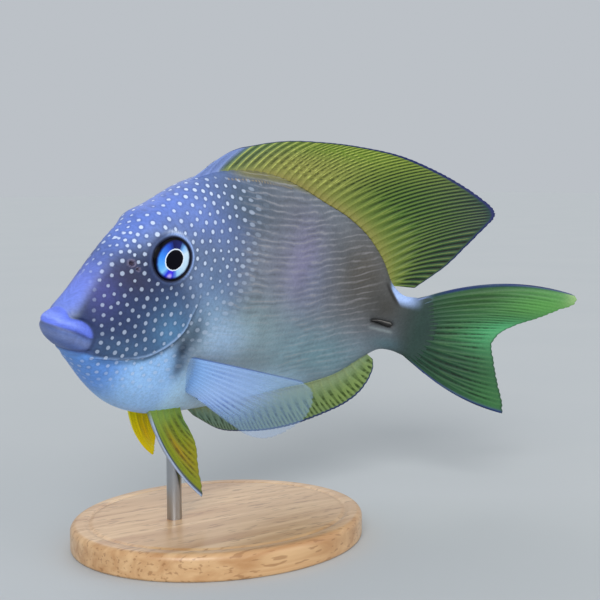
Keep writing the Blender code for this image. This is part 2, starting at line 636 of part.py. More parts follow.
def build_median_fins(pose):
    """Build the dorsal, anal and tail fins."""
    gold = material("dorsal_fin", (0.42, 0.40, 0.06), 0.45)
    olive = material("anal_fin", (0.36, 0.38, 0.08), 0.45)
    green = material("tail_fin", (0.12, 0.24, 0.10), 0.45)
    ridge_fin("dorsal_fin", DORSAL_RAYS, DORSAL_COUNT, True, gold, pose, DORSAL_ROWS)
    ridge_fin("anal_fin", ANAL_RAYS, ANAL_COUNT, False, olive, pose, ANAL_ROWS)
    tips = spread(CAUDAL_TIPS, CAUDAL_COUNT)
    share = np.linspace(0.0, 1.0, CAUDAL_COUNT)
    high, low = CAUDAL_ROOT_Z
    none = np.zeros(CAUDAL_COUNT)
    root_x = none + CAUDAL_ROOT_X + GAP / STANDARD_LENGTH
    roots = np.column_stack([root_x, high + (low - high) * share ** CAUDAL_ROOT_CROWD, none])
    over, under = CAUDAL_BOW
    fade = np.where(share < 0.5, over * (1 - 2 * share), under * (2 * share - 1))
    bows = np.column_stack([none, fade, none])
    side = np.array([0.0, 0.0, CAUDAL_FOOT / 2 / STANDARD_LENGTH])
    tips = np.column_stack([tips, none])
    blade("tail_fin", roots, tips, bows, (roots + side, roots - side), green, pose, rows=TAIL_FIN_ROWS)


def build_pectoral_fins(pose):
    """Build the fan-shaped fin behind each gill cover, held out from the flank."""
    clear = material("pectoral_fin", (0.42, 0.48, 0.72), 0.4)
    keys = spread(PECTORAL_TIPS, PECTORAL_COUNT)
    base = spread(PECTORAL_ROOT, PECTORAL_COUNT)
    chord = PECTORAL_FOOT / 2 / STANDARD_LENGTH / math.sin(PECTORAL_SLANT)
    gap = PECTORAL_GAP / STANDARD_LENGTH
    for side, label in ((1, "left"), (-1, "right")):
        mirror = np.array([1.0, 1.0, side])
        lines = []
        for shift in (-chord, 0.0, chord):
            x = base[:, 0] + shift
            lines.append(np.column_stack([x, base[:, 1], flank_width(x, base[:, 1]) + gap]) * mirror)
        outer, roots, inner = lines
        tips = keys * mirror
        across = np.gradient(roots + tips, axis=0)
        normals = np.cross(tips - roots, across)
        normals *= np.sign(np.sum(normals * (outer - inner), axis=1))[:, None]
        bows = np.zeros_like(roots)
        bows[:, 2] = PECTORAL_BOW * side
        blade("pectoral_fin_" + label, roots, tips, bows, (outer, inner), clear, pose, normals)


def build_pelvic_fins(pose):
    """Build the pair of fins under the breast, the left one spread and the right one drawn back."""
    yellow = material("pelvic_fin", (0.55, 0.45, 0.03), 0.45)
    front, rear = PELVIC_ROOT_X
    x = np.linspace(front, rear, PELVIC_COUNT)
    reach = PELVIC_FOOT / 2 / STANDARD_LENGTH
    gap = PELVIC_GAP / STANDARD_LENGTH
    pairs = ((1, "left", PELVIC_TIPS_LEFT, PELVIC_BOW_LEFT),
             (-1, "right", PELVIC_TIPS_RIGHT, PELVIC_BOW_RIGHT))
    for side, label, keys, bow in pairs:
        mirror = np.array([1.0, 1.0, side])
        lines = []
        for shift in (reach, 0.0, -reach):
            w = PELVIC_ROOT_W + shift
            lines.append(np.column_stack([x, edge_height(x, w, False) - gap, w + 0.0 * x]) * mirror)
        outer, roots, inner = lines
        tips = spread(keys, PELVIC_COUNT) * mirror
        across = np.gradient(roots + tips, axis=0)
        normals = np.cross(tips - roots, across)
        normals *= np.sign(np.sum(normals * (outer - inner), axis=1))[:, None]
        fade = np.linspace(1.0, PELVIC_REAR_BOW, PELVIC_COUNT)[:, None]
        bows = np.array(bow)[None, :] * mirror * fade
        blade("pelvic_fin_" + label, roots, tips, bows, (outer, inner), yellow, pose, normals)


def lowest_fin_height():
    """Return the pose's height of the lowest fin tip, measured from the fish's own origin."""
    tips = np.array(PELVIC_TIPS_LEFT + PELVIC_TIPS_RIGHT)
    return float((swim(tips) @ fish_matrix().T)[:, 2].min())


def build_stand(torso, pose):
    """Build the oval plate and the upright rod, and bore the belly and the plate for the rod."""
    beech = material("stand_beech", (0.62, 0.43, 0.26), 0.45)
    steel = material("stand_steel", (0.55, 0.56, 0.58), 0.3, 1.0)
    bpy.ops.mesh.primitive_cylinder_add(vertices=48, radius=0.5, depth=1.0)
    plate = adopt_primitive("stand_plate", None, beech, 30)
    for vertex in plate.data.vertices:
        vertex.co.x *= PLATE_LENGTH
        vertex.co.y *= PLATE_WIDTH
        vertex.co.z *= PLATE_THICKNESS
    plate.location = (0.0, 0.0, PLATE_THICKNESS / 2)
    edge = plate.modifiers.new("edge", "BEVEL")
    edge.width = PLATE_EDGE
    edge.segments = 1
    edge.limit_method = "ANGLE"

    belly = np.array([ROD_X, float(belly_z(ROD_X)), 0.0])
    enter = fish_matrix() @ swim(belly) + np.array(pose.location)
    top = enter[2] + ROD_IN_BELLY
    bottom = PLATE_THICKNESS - ROD_IN_PLATE
    sizes = (("stand_rod", ROD_RADIUS, 0.0, steel), ("rod_bore", ROD_RADIUS + GAP, GAP, None))
    for name, radius, extra, finish in sizes:
        depth = top - bottom + 2 * extra
        bpy.ops.mesh.primitive_cylinder_add(vertices=20, radius=radius, depth=depth)
        made = adopt_primitive(name, None, finish, 30)
        made.location = (enter[0], enter[1], (top + bottom) / 2)
    cut(torso, made)
    cut(plate, made)


def build():
    """Build the whole model."""
    pose = bpy.data.objects.new("fish_pose", None)
    PARTS.objects.link(pose)
    pose.rotation_euler = (POSE_BANK, POSE_PITCH, POSE_HEADING)
    middle = fish_matrix() @ swim(np.array([BALANCE_X, 0.0, 0.0]))
    height = PLATE_THICKNESS + FIN_CLEARANCE - lowest_fin_height()
    pose.location = (-middle[0], -middle[1], height)
    head, torso, tail = build_body(pose)
    build_eyes(head, pose)
    build_spines(tail, pose)
    build_median_fins(pose)
    build_pectoral_fins(pose)
    build_pelvic_fins(pose)
    build_stand(torso, pose)


build()
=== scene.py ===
"""Kole tang: the finished surfaces of a life-size still model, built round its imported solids.

The fish is worked out straight first, in fish coordinates, which are fractions of its standard
length (x backwards from the snout, z upwards from the axis of the tail stem, w sideways to its
left). FishForm bends that straight fish to its left and sets it at its heading, pitch and bank,
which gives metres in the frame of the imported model. Every surface is a closed shell of rings.
"""

import logging
import math
from dataclasses import dataclass
from enum import Enum

import bpy
import numpy as np
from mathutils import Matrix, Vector


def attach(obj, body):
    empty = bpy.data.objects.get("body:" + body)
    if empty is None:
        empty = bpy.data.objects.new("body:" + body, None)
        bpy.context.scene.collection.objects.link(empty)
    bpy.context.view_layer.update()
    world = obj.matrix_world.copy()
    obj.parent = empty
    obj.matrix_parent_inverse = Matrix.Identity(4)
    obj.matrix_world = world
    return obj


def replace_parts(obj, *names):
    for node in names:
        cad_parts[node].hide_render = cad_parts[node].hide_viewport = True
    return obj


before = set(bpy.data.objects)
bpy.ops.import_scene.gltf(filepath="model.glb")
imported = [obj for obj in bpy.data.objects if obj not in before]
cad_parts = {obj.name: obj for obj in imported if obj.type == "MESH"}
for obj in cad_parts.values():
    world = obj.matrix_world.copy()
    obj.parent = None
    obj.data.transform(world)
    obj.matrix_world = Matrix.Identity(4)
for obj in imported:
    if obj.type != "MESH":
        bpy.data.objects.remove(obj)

Array = np.ndarray
Material = bpy.types.Material
Piece = bpy.types.Object
Point = tuple[float, float]
Socket = bpy.types.NodeSocket

LOG = logging.getLogger("kole_tang")
MM = 0.001
TINY = 1e-12
SMOOTH = {"interpolation_type": "SMOOTHSTEP"}
FLAT = {"noise_dimensions": "2D"}


class Side(Enum):
    """A side of the fish, with the sign of its sideways coordinate."""

    LEFT = 1
    RIGHT = -1

    @property
    def label(self) -> str:
        """The side's name in lower case."""
        return self.name.lower()


class Ends(Enum):
    """How the two ends of a shell are closed."""

    POLE = "on the middle point of the end ring"
    ZIP = "flat, with the two halves of the end ring joined across"


def linear(colour: str) -> Array:
    """Turn an sRGB hex colour into linear red, green and blue.

    Args:
        colour: the colour as #rrggbb.

    Returns:
        Three values from 0 to 1: the sRGB curve undone for each channel.
    """
    srgb = np.array([int(colour[at:at + 2], 16) for at in (1, 3, 5)]) / 255.0
    return np.where(srgb <= 0.04045, srgb / 12.92, ((srgb + 0.055) / 1.055) ** 2.4)


def rise(value: Array, low: float, high: float) -> Array:
    """Give a smooth step, 3 t squared less 2 t cubed, of the way t from low to high.

    Args:
        value: the values to judge.
        low: where the step is 0; it may be above high, for a step down.
        high: where the step is 1.

    Returns:
        The step at each value.
    """
    t = np.clip((value - low) / (high - low), 0.0, 1.0)
    return t * t * (3.0 - 2.0 * t)


def bell(value: Array, middle: float, reach: float) -> Array:
    """Give e to the minus square of the distance from the middle, measured in reaches."""
    return np.exp(-((value - middle) / reach) ** 2)


def running(steps: Array) -> Array:
    """Give the running sums of steps, starting from 0."""
    return np.concatenate([[0.0], np.cumsum(steps)])


def turns(count: int) -> Array:
    """Give that many angles, evenly spaced round one full turn."""
    return np.linspace(0.0, 2.0 * math.pi, count, endpoint=False)


def tint(ground: Array, colour: str, share: Array) -> Array:
    """Lay a colour over painted ground.

    Args:
        ground: linear colours, with the channels last.
        colour: the sRGB hex colour laid on.
        share: how much of it covers the ground at each point, 0 to 1.

    Returns:
        The ground times one less the share, and the colour times the share.
    """
    return ground + (linear(colour) - ground) * np.clip(share, 0.0, 1.0)[..., None]


@dataclass(frozen=True)
class Spray:
    """A soft patch of colour, full in its middle and fading as a bell curve both ways."""

    colour: str
    middle: Point
    reach: Point
    strength: float = 1.0

    def share(self, across: Array, up: Array) -> Array:
        """Give how much the patch covers at the points' two coordinates."""
        bells = bell(across, self.middle[0], self.reach[0]) * bell(up, self.middle[1], self.reach[1])
        return bells * self.strength


def sprayed(ground: Array, patches: tuple[Spray, ...], across: Array, up: Array,
            within: Array | float = 1.0) -> Array:
    """Lay patches over painted ground, one after the other.

    Args:
        ground: linear colours, with the channels last.
        patches: the patches, in the order in which they are laid.
        across: the points' first coordinate.
        up: their second one.
        within: how much of the patches is let through at each point.

    Returns:
        The painted ground.
    """
    for patch in patches:
        ground = tint(ground, patch.colour, patch.share(across, up) * within)
    return ground


def coated(ground: Array, *coats: tuple[str, Array]) -> Array:
    """Lay coats over painted ground, each a hex colour and how much of it covers each point."""
    for colour, share in coats:
        ground = tint(ground, colour, share)
    return ground


@dataclass(frozen=True)
class Line:
    """A smooth line through stations: a cubic between each two, level with its neighbours' slopes."""

    stations: tuple[Point, ...]

    def __call__(self, x: Array) -> Array:
        """Read the line.

        Args:
            x: where to read it; outside the stations the end values hold.

        Returns:
            The values: each cubic blends its two stations, and its end slopes are the mean of
            the slopes on the two sides of a station, weighted by the lengths of those sides.
        """
        xs, ys = (np.array(column, dtype=float) for column in zip(*self.stations))
        steps = np.diff(xs)
        slopes = np.diff(ys) / steps
        tangents = np.empty_like(ys)
        tangents[0], tangents[-1] = slopes[0], slopes[-1]
        tangents[1:-1] = (slopes[:-1] * steps[1:] + slopes[1:] * steps[:-1]) / (steps[:-1] + steps[1:])
        x = np.asarray(x, dtype=float)
        i = np.clip(np.searchsorted(xs, x, side="right") - 1, 0, len(steps) - 1)
        t = np.clip((x - xs[i]) / steps[i], 0.0, 1.0)
        blend = t * t * (3.0 - 2.0 * t)
        bends = t * (1.0 - t) ** 2 * tangents[i] - t * t * (1.0 - t) * tangents[i + 1]
        return (1.0 - blend) * ys[i] + blend * ys[i + 1] + steps[i] * bends


def spread(keys: tuple | Array, count: int, crowd: float = 1.0) -> Array:
    """Blend key rows smoothly into many, along the path of their first two columns.

    Args:
        keys: rows of fish coordinates.
        count: how many rows to give.
        crowd: over 1 sets them closer together towards the end of the path.

    Returns:
        The rows, as an array.
    """
    rows = np.array(keys, dtype=float)
    along = running(np.hypot(*np.diff(rows[:, :2], axis=0).T))
    at = along[-1] * (1.0 - np.linspace(1.0, 0.0, count) ** crowd)
    return np.stack([Line(tuple(zip(along, column)))(at) for column in rows.T], axis=-1)


@dataclass(frozen=True)
class Edge:
    """A line drawn over the flank through (x, z) places."""

    places: tuple[Point, ...]
    pieces: int = 60

    def beside(self, x: Array, z: Array) -> Array:
        """Measure how far points lie from the line.

        Args:
            x: places along the fish.
            z: heights.

        Returns:
            The distance to the nearest point of the line, less than 0 to the right of its run. On
            each straight piece the nearest point is the start plus the share of the piece that the
            point's projection reaches, and the side is the sign of the cross product with the run.
        """
        line = spread(self.places, self.pieces + 1)
        best = np.full(x.shape, np.inf)
        signed = np.zeros(x.shape)
        for start, run in zip(line[:-1], np.diff(line, axis=0)):
            dx, dz = x - start[0], z - start[1]
            share = np.clip((dx * run[0] + dz * run[1]) / (run @ run), 0.0, 1.0)
            apart = np.hypot(dx - share * run[0], dz - share * run[1])
            side = np.where(run[0] * dz - run[1] * dx < 0.0, -1.0, 1.0)
            signed = np.where(apart < best, apart * side, signed)
            best = np.minimum(best, apart)
        return signed


@dataclass
class Shell:
    """A closed surface through rings of points, carrying what its material reads at each point."""

    points: Array
    fields: dict[str, Array]
    ends: Ends

    def _sides(self) -> tuple[Array, Array]:
        """Join each ring to the next.

        Returns:
            Corner numbers of the four-sided faces, and their places on the unrolled surface:
            rings run across it and the way round a ring runs up it, so the seam stays closed.
        """
        rings, around = self.points.shape[:2]
        i, j = np.meshgrid(np.arange(rings - 1), np.arange(around), indexing="ij")
        after = (j + 1) % around
        corners = np.stack([i * around + j, i * around + after,
                            (i + 1) * around + after, (i + 1) * around + j], axis=-1)
        across = np.stack([i, i, i + 1, i + 1], axis=-1) / (rings - 1)
        up = np.stack([j, j + 1, j + 1, j], axis=-1) / around
        flat = np.stack([0.01 + 0.98 * across, up], axis=-1)
        return corners.reshape(-1, 4), flat.reshape(-1, 4, 2)

    def _closures(self) -> tuple[Array, Array]:
        """Close both end rings as self.ends says.

        Returns:
            Corner numbers of the closing faces and their places in the margins of the unrolled
            surface. The middle points of the end rings are numbered after all the others.
        """
        rings, around = self.points.shape[:2]
        corners, flat = [], []
        for number, (first, edge, rim) in enumerate(((0, 0.01, 0.0), ((rings - 1) * around, 0.99, 1.0))):
            if self.ends is Ends.POLE:
                j = np.arange(around)
                pole = np.full(around, rings * around + number)
                face = np.stack([first + j, pole, first + (j + 1) % around], axis=-1)
                up = np.stack([j, j + 0.5, j + 1], axis=-1) / around
                across = np.broadcast_to([edge, rim, edge], up.shape)
            else:
                j = np.arange(around // 2 - 1)
                face = first + np.stack([j, around - 1 - j, around - 2 - j, j + 1], axis=-1)
                up = np.stack([j, j, j + 1, j + 1], axis=-1) / around
                across = np.broadcast_to([edge, rim, rim, edge], up.shape)
            turned = slice(None, None, -1) if number else slice(None)
            corners.append(face[:, turned])
            flat.append(np.stack([across, up], axis=-1)[:, turned])
        return np.concatenate(corners), np.concatenate(flat)

    def _all_points(self, values: Array) -> Array:
        """List values for every vertex, the middles of the end rings last when they are poles."""
        listed = values.reshape(-1, values.shape[-1])
        if self.ends is Ends.POLE:
            listed = np.concatenate([listed, values[[0, -1]].mean(axis=1)])
        return listed

    def build(self, name: str, finish: Material) -> Piece:
        """Make the shell's mesh object, with its faces outwards, its fields and its flat map.

        Args:
            name: the piece's name.
            finish: its material.

        Returns:
            The object, at the origin, with its place in its mesh. A negative sum of the volumes
            between the faces and the origin means that the faces point inwards; they are turned.
        """
        points = self._all_points(self.points)
        groups = [self._sides(), self._closures()]
        volume = 0.0
        for corners, _ in groups:
            for k in range(1, corners.shape[1] - 1):
                a, b, c = (points[corners[:, at]] for at in (0, k, k + 1))
                volume += np.sum(a * np.cross(b, c))
        if volume < 0.0:
            groups = [(corners[:, ::-1], flat[:, ::-1]) for corners, flat in groups]
        sizes = np.concatenate([np.full(len(corners), corners.shape[1]) for corners, _ in groups])
        mesh = bpy.data.meshes.new(name)
        mesh.vertices.add(len(points))
        mesh.vertices.foreach_set("co", points.astype(np.float32).ravel())
        mesh.loops.add(int(sizes.sum()))
        joined = np.concatenate([corners.ravel() for corners, _ in groups])
        mesh.loops.foreach_set("vertex_index", joined.astype(np.int32))
        mesh.polygons.add(len(sizes))
        mesh.polygons.foreach_set("loop_start", (np.cumsum(sizes) - sizes).astype(np.int32))
        mesh.polygons.foreach_set("use_smooth", np.ones(len(sizes), dtype=bool))
        flat_map = mesh.uv_layers.new(name="OFBake")
        flat_map.data.foreach_set("uv", np.concatenate([f.reshape(-1, 2) for _, f in groups]).ravel())
        mesh.update(calc_edges=True)
        for label, values in self.fields.items():
            kinds = {1: ("FLOAT", "value"), 3: ("FLOAT_VECTOR", "vector"), 4: ("FLOAT_COLOR", "color")}
            kind, entry = kinds[values.shape[-1]]
            stored = mesh.attributes.new(label, kind, "POINT")
            stored.data.foreach_set(entry, self._all_points(values).astype(np.float32).ravel())
        mesh.materials.append(finish)
        made = bpy.data.objects.new(name, mesh)
        bpy.context.scene.collection.objects.link(made)
        LOG.info("%s: %d faces", name, len(sizes))
        return made


def with_alpha(colours: Array) -> Array:
    """Add a full fourth channel to linear colours."""
    return np.concatenate([colours, np.ones_like(colours[..., :1])], axis=-1)


class Wiring:
    """The node graph of one material, round its Principled shader."""

    def __init__(self, name: str) -> None:
        """Start the material with that name."""
        self.material = bpy.data.materials.new(name)
        self.material.use_nodes = True
        self.tree = self.material.node_tree
        self.shader = self.tree.nodes["Principled BSDF"]

    def add(self, kind: str, inputs: dict | None = None, out: str | None = None,
            **settings: object) -> Socket:
        """Add a node with its settings and links.

        Args:
            kind: the node's type, without the word ShaderNode before it.
            inputs: by name or number, a socket to link, a number or vector, or a hex colour.
            out: the output that is wanted; the first one in use unless it is given.
            settings: the node's own settings.

        Returns:
            The wanted output.
        """
        node = self.tree.nodes.new("ShaderNode" + kind)
        for name, value in settings.items():
            setattr(node, name, value)
        for key, value in (inputs or {}).items():
            if isinstance(value, Socket):
                self.tree.links.new(value, node.inputs[key])
            elif isinstance(value, str):
                node.inputs[key].default_value = (*linear(value), 1.0)
            else:
                node.inputs[key].default_value = value
        return node.outputs[out] if out else next(socket for socket in node.outputs if socket.enabled)

    def finish(self, links: dict[str, Socket], **constants: object) -> Material:
        """Feed the shader.

        Args:
            links: output sockets by the name of the shader's input.
            constants: values set on the shader's own sockets, spaces in their names written _.

        Returns:
            The finished material.
        """
        for name, socket in links.items():
            self.tree.links.new(socket, self.shader.inputs[name])
        for name, value in constants.items():
            value = (*linear(value), 1.0) if isinstance(value, str) else value
            self.shader.inputs[name.replace("_", " ")].default_value = value
        return self.material


def span(value: Socket, low: float, high: float, start: float = 0.0,
         stop: float = 1.0) -> dict:
    """Name a range's inputs: low becomes start, high becomes stop, and values between are blended."""
    return {"Value": value, "From Min": low, "From Max": high, "To Min": start, "To Max": stop}


def set_bands(ramp: Socket, bands: tuple[tuple[float, str], ...]) -> None:
    """Give a colour ramp its bands, each a place from 0 to 1 and a hex colour."""
    elements = ramp.node.color_ramp.elements
    for number, (at, colour) in enumerate(bands):
        entry = elements[number] if number < 2 else elements.new(at)
        entry.position = at
        entry.color = (*linear(colour), 1.0)


PELVIC_TIPS = {
    Side.LEFT: ((0.466, -0.419, 0.073), (0.462, -0.394, 0.066), (0.452, -0.362, 0.057),
                (0.437, -0.320, 0.044), (0.410, -0.283, 0.034)),
    Side.RIGHT: ((0.442, -0.373, 0.059), (0.438, -0.360, 0.055), (0.430, -0.346, 0.050),
                 (0.418, -0.332, 0.046), (0.402, -0.312, 0.042)),
}
# The two pelvic fins' colours: all over, at the foot, along the streak, at the hem and behind. The right
# fin's are its own yellow painted brighter, as painted light through its thin web in the fish's shade
PELVIC_COLOURS = {
    Side.LEFT: ("#7d8c1a", "#759a4c", "#b4841a", "#9a9014", "#5c8a4c"),
    Side.RIGHT: ("#fff000", "#d8dc1c", "#ffd200", "#f0e400", "#dce000"),
}
PELVIC_BOWS = {Side.LEFT: (-0.016, -0.010, 0.0), Side.RIGHT: (-0.010, -0.012, 0.0)}


@dataclass(frozen=True)
class FishForm:
    """The smooth shape of the fish and its pose: what every piece on it is worked out from."""

    length: float = 115 * MM
    flex_start: float = 0.58
    flex_end: float = 1.02
    flex_angle: float = math.radians(-48.1)
    curl_per_length: float = -0.81
    heading: float = math.radians(21.0)
    pitch: float = math.radians(10.8)
    bank: float = math.radians(10.7)
    balance_x: float = 0.43
    plate_thickness: float = 6 * MM
    fin_clearance: float = 4.5 * MM
    snout_x: float = 0.0
    snout_round: float = 0.032
    gill: Line = Line((
        (0.0, 0.300), (1.2, 0.290), (1.73, 0.278), (1.90, 0.259), (1.985, 0.233), (2.06, 0.200),
        (2.14, 0.172), (2.30, 0.142), (2.55, 0.124), (3.142, 0.120)))
    lip_back: tuple[float, float, float] = (0.024, 0.075, 0.056)
    lip_sweep: float = 14.0
    back: Line = Line((
        (-0.008, -0.110), (0.0, -0.104), (0.02, -0.090), (0.045, -0.056), (0.08, 0.004), (0.12, 0.062),
        (0.16, 0.102), (0.21, 0.141), (0.26, 0.178), (0.32, 0.208), (0.40, 0.231), (0.50, 0.244),
        (0.60, 0.239), (0.70, 0.223), (0.79, 0.203), (0.85, 0.174), (0.90, 0.130), (0.935, 0.084),
        (0.965, 0.066), (1.0, 0.068)))
    belly: Line = Line((
        (-0.008, -0.124), (0.01, -0.136), (0.05, -0.158), (0.09, -0.186), (0.14, -0.221), (0.20, -0.251),
        (0.28, -0.266), (0.38, -0.262), (0.50, -0.247), (0.62, -0.226), (0.72, -0.201), (0.80, -0.175),
        (0.86, -0.142), (0.91, -0.093), (0.94, -0.068), (0.97, -0.063), (1.0, -0.067)))
    half_width: Line = Line((
        (-0.008, 0.024), (0.02, 0.033), (0.06, 0.042), (0.11, 0.054), (0.17, 0.067), (0.24, 0.076),
        (0.32, 0.082), (0.42, 0.081), (0.55, 0.072), (0.70, 0.055), (0.82, 0.040), (0.92, 0.030),
        (0.97, 0.022), (1.0, 0.012)))
    widest: Line = Line((
        (-0.008, -0.117), (0.04, -0.122), (0.08, -0.128), (0.12, -0.108), (0.18, -0.062),
        (0.28, -0.022), (0.45, 0.0), (1.0, 0.0)))
    full_above: Line = Line((
        (-0.008, 0.9), (0.10, 0.70), (0.20, 0.72), (0.32, 1.05), (0.50, 1.2), (1.0, 1.1)))
    full_below: Line = Line((
        (-0.008, 0.9), (0.10, 0.85), (0.25, 0.75), (0.38, 0.95), (0.50, 1.2), (1.0, 1.1)))

    def nose_scale(self, x: Array) -> Array:
        """Give the share of its full section that the body has at x: a quarter ellipse at the snout."""
        t = np.clip((x - self.snout_x) / self.snout_round, 0.0, 1.0)
        return np.sqrt(np.maximum(1.0 - (1.0 - t) ** 2, 0.0))

    def section(self, x: Array, angle: Array) -> Array:
        """Give the smooth body's points.

        Args:
            x: places along the fish.
            angle: angles round the section, 0 on the back, a quarter turn on the left flank.

        Returns:
            (x, z, w): z is the widest height and the reach above or below it times the cosine, and
            w the half width times the sine raised to the section's fullness.
        """
        middle = self.widest(x)
        cosine, sine = np.cos(angle), np.sin(angle)
        reach = np.where(cosine > 0.0, self.back(x) - middle, middle - self.belly(x))
        power = np.where(cosine > 0.0, self.full_above(x), self.full_below(x))
        z = middle + reach * cosine * self.nose_scale(x)
        w = self.half_width(x) * np.sign(sine) * np.abs(sine) ** power * self.nose_scale(x)
        return np.stack([x + 0.0 * z, z, w], axis=-1)

    def belly_height(self, x: Array, w: float) -> Array:
        """Give z of the smooth belly at a sideways distance: section() undone for z."""
        sine = np.clip(w / self.half_width(x), 0.0, 1.0) ** (1.0 / self.full_below(x))
        return self.widest(x) + (self.belly(x) - self.widest(x)) * np.sqrt(1.0 - sine ** 2)

    def flank_width(self, x: Array, z: Array) -> Array:
        """Give the smooth body's half width at a height: section() undone for w."""
        above = z > self.widest(x)
        end = np.where(above, self.back(x), self.belly(x))
        power = np.where(above, self.full_above(x), self.full_below(x))
        cosine = np.clip((z - self.widest(x)) / (end - self.widest(x)), 0.0, 1.0)
        return self.half_width(x) * np.sqrt(1.0 - cosine ** 2) ** power

    def gill_edge(self, angle: Array) -> Array:
        """Give x of the gill opening at an angle: steep on the side, then forward under the throat."""
        return self.gill(np.arccos(np.cos(angle)))

    def lips_end(self, angle: Array) -> Array:
        """Give x where the lips end at an angle: furthest back at the corner of the mouth."""
        over, side, under = self.lip_back
        sine = np.abs(np.sin(angle))
        above = over + (side - over) * sine ** self.lip_sweep
        return np.where(np.cos(angle) > 0.0, above, under + (side - under) * sine)

    def swim(self, points: Array) -> Array:
        """Bend fish coordinates to the left.

        Args:
            points: (x, z, w) in fish coordinates.

        Returns:
            Metres with the head towards -X: the centre line's heading is a smooth step over the
            tail stem and grows evenly over the tail fin; its cosine and sine, summed, are the path.
        """
        t = np.linspace(-0.2, 1.6, 1801)
        heading = self.flex_angle * rise(t, self.flex_start, self.flex_end)
        heading = heading + self.curl_per_length * np.clip(t - 1.0, 0.0, 1.0)
        step = np.diff(t) / 2.0
        path = np.stack([np.cos(heading), np.sin(heading)])
        along, across = (running((part[1:] + part[:-1]) * step) for part in path)
        along, across = along - np.interp(0.0, t, along), across - np.interp(0.0, t, across)
        x, z, w = points[..., 0], points[..., 1], points[..., 2]
        turn = np.interp(x, t, heading)
        bent_x = np.interp(x, t, along) + w * np.sin(turn)
        bent_y = np.interp(x, t, across) - w * np.cos(turn)
        return np.stack([bent_x, bent_y, z], axis=-1) * self.length

    def turn(self) -> Array:
        """Give the pose's rotation: bank about X, then pitch about Y, then heading about Z."""
        cz, sz = math.cos(self.heading), math.sin(self.heading)
        cy, sy = math.cos(self.pitch), math.sin(self.pitch)
        cx, sx = math.cos(self.bank), math.sin(self.bank)
        heading = np.array([[cz, -sz, 0.0], [sz, cz, 0.0], [0.0, 0.0, 1.0]])
        pitch = np.array([[cy, 0.0, sy], [0.0, 1.0, 0.0], [-sy, 0.0, cy]])
        bank = np.array([[1.0, 0.0, 0.0], [0.0, cx, -sx], [0.0, sx, cx]])
        return heading @ pitch @ bank

    def place(self, points: Array) -> Array:
        """Set fish coordinates in the frame.

        Args:
            points: (x, z, w) in fish coordinates.

        Returns:
            Metres in the frame: the point under the balance stands over the plate's middle, and
            the lowest fin tip clears the plate.
        """
        turn = self.turn()
        middle = turn @ self.swim(np.array([self.balance_x, 0.0, 0.0]))
        tips = np.array(PELVIC_TIPS[Side.LEFT] + PELVIC_TIPS[Side.RIGHT])
        lowest = (self.swim(tips) @ turn.T)[:, 2].min()
        shift = np.array([-middle[0], -middle[1], self.plate_thickness + self.fin_clearance - lowest])
        return self.swim(points) @ turn.T + shift


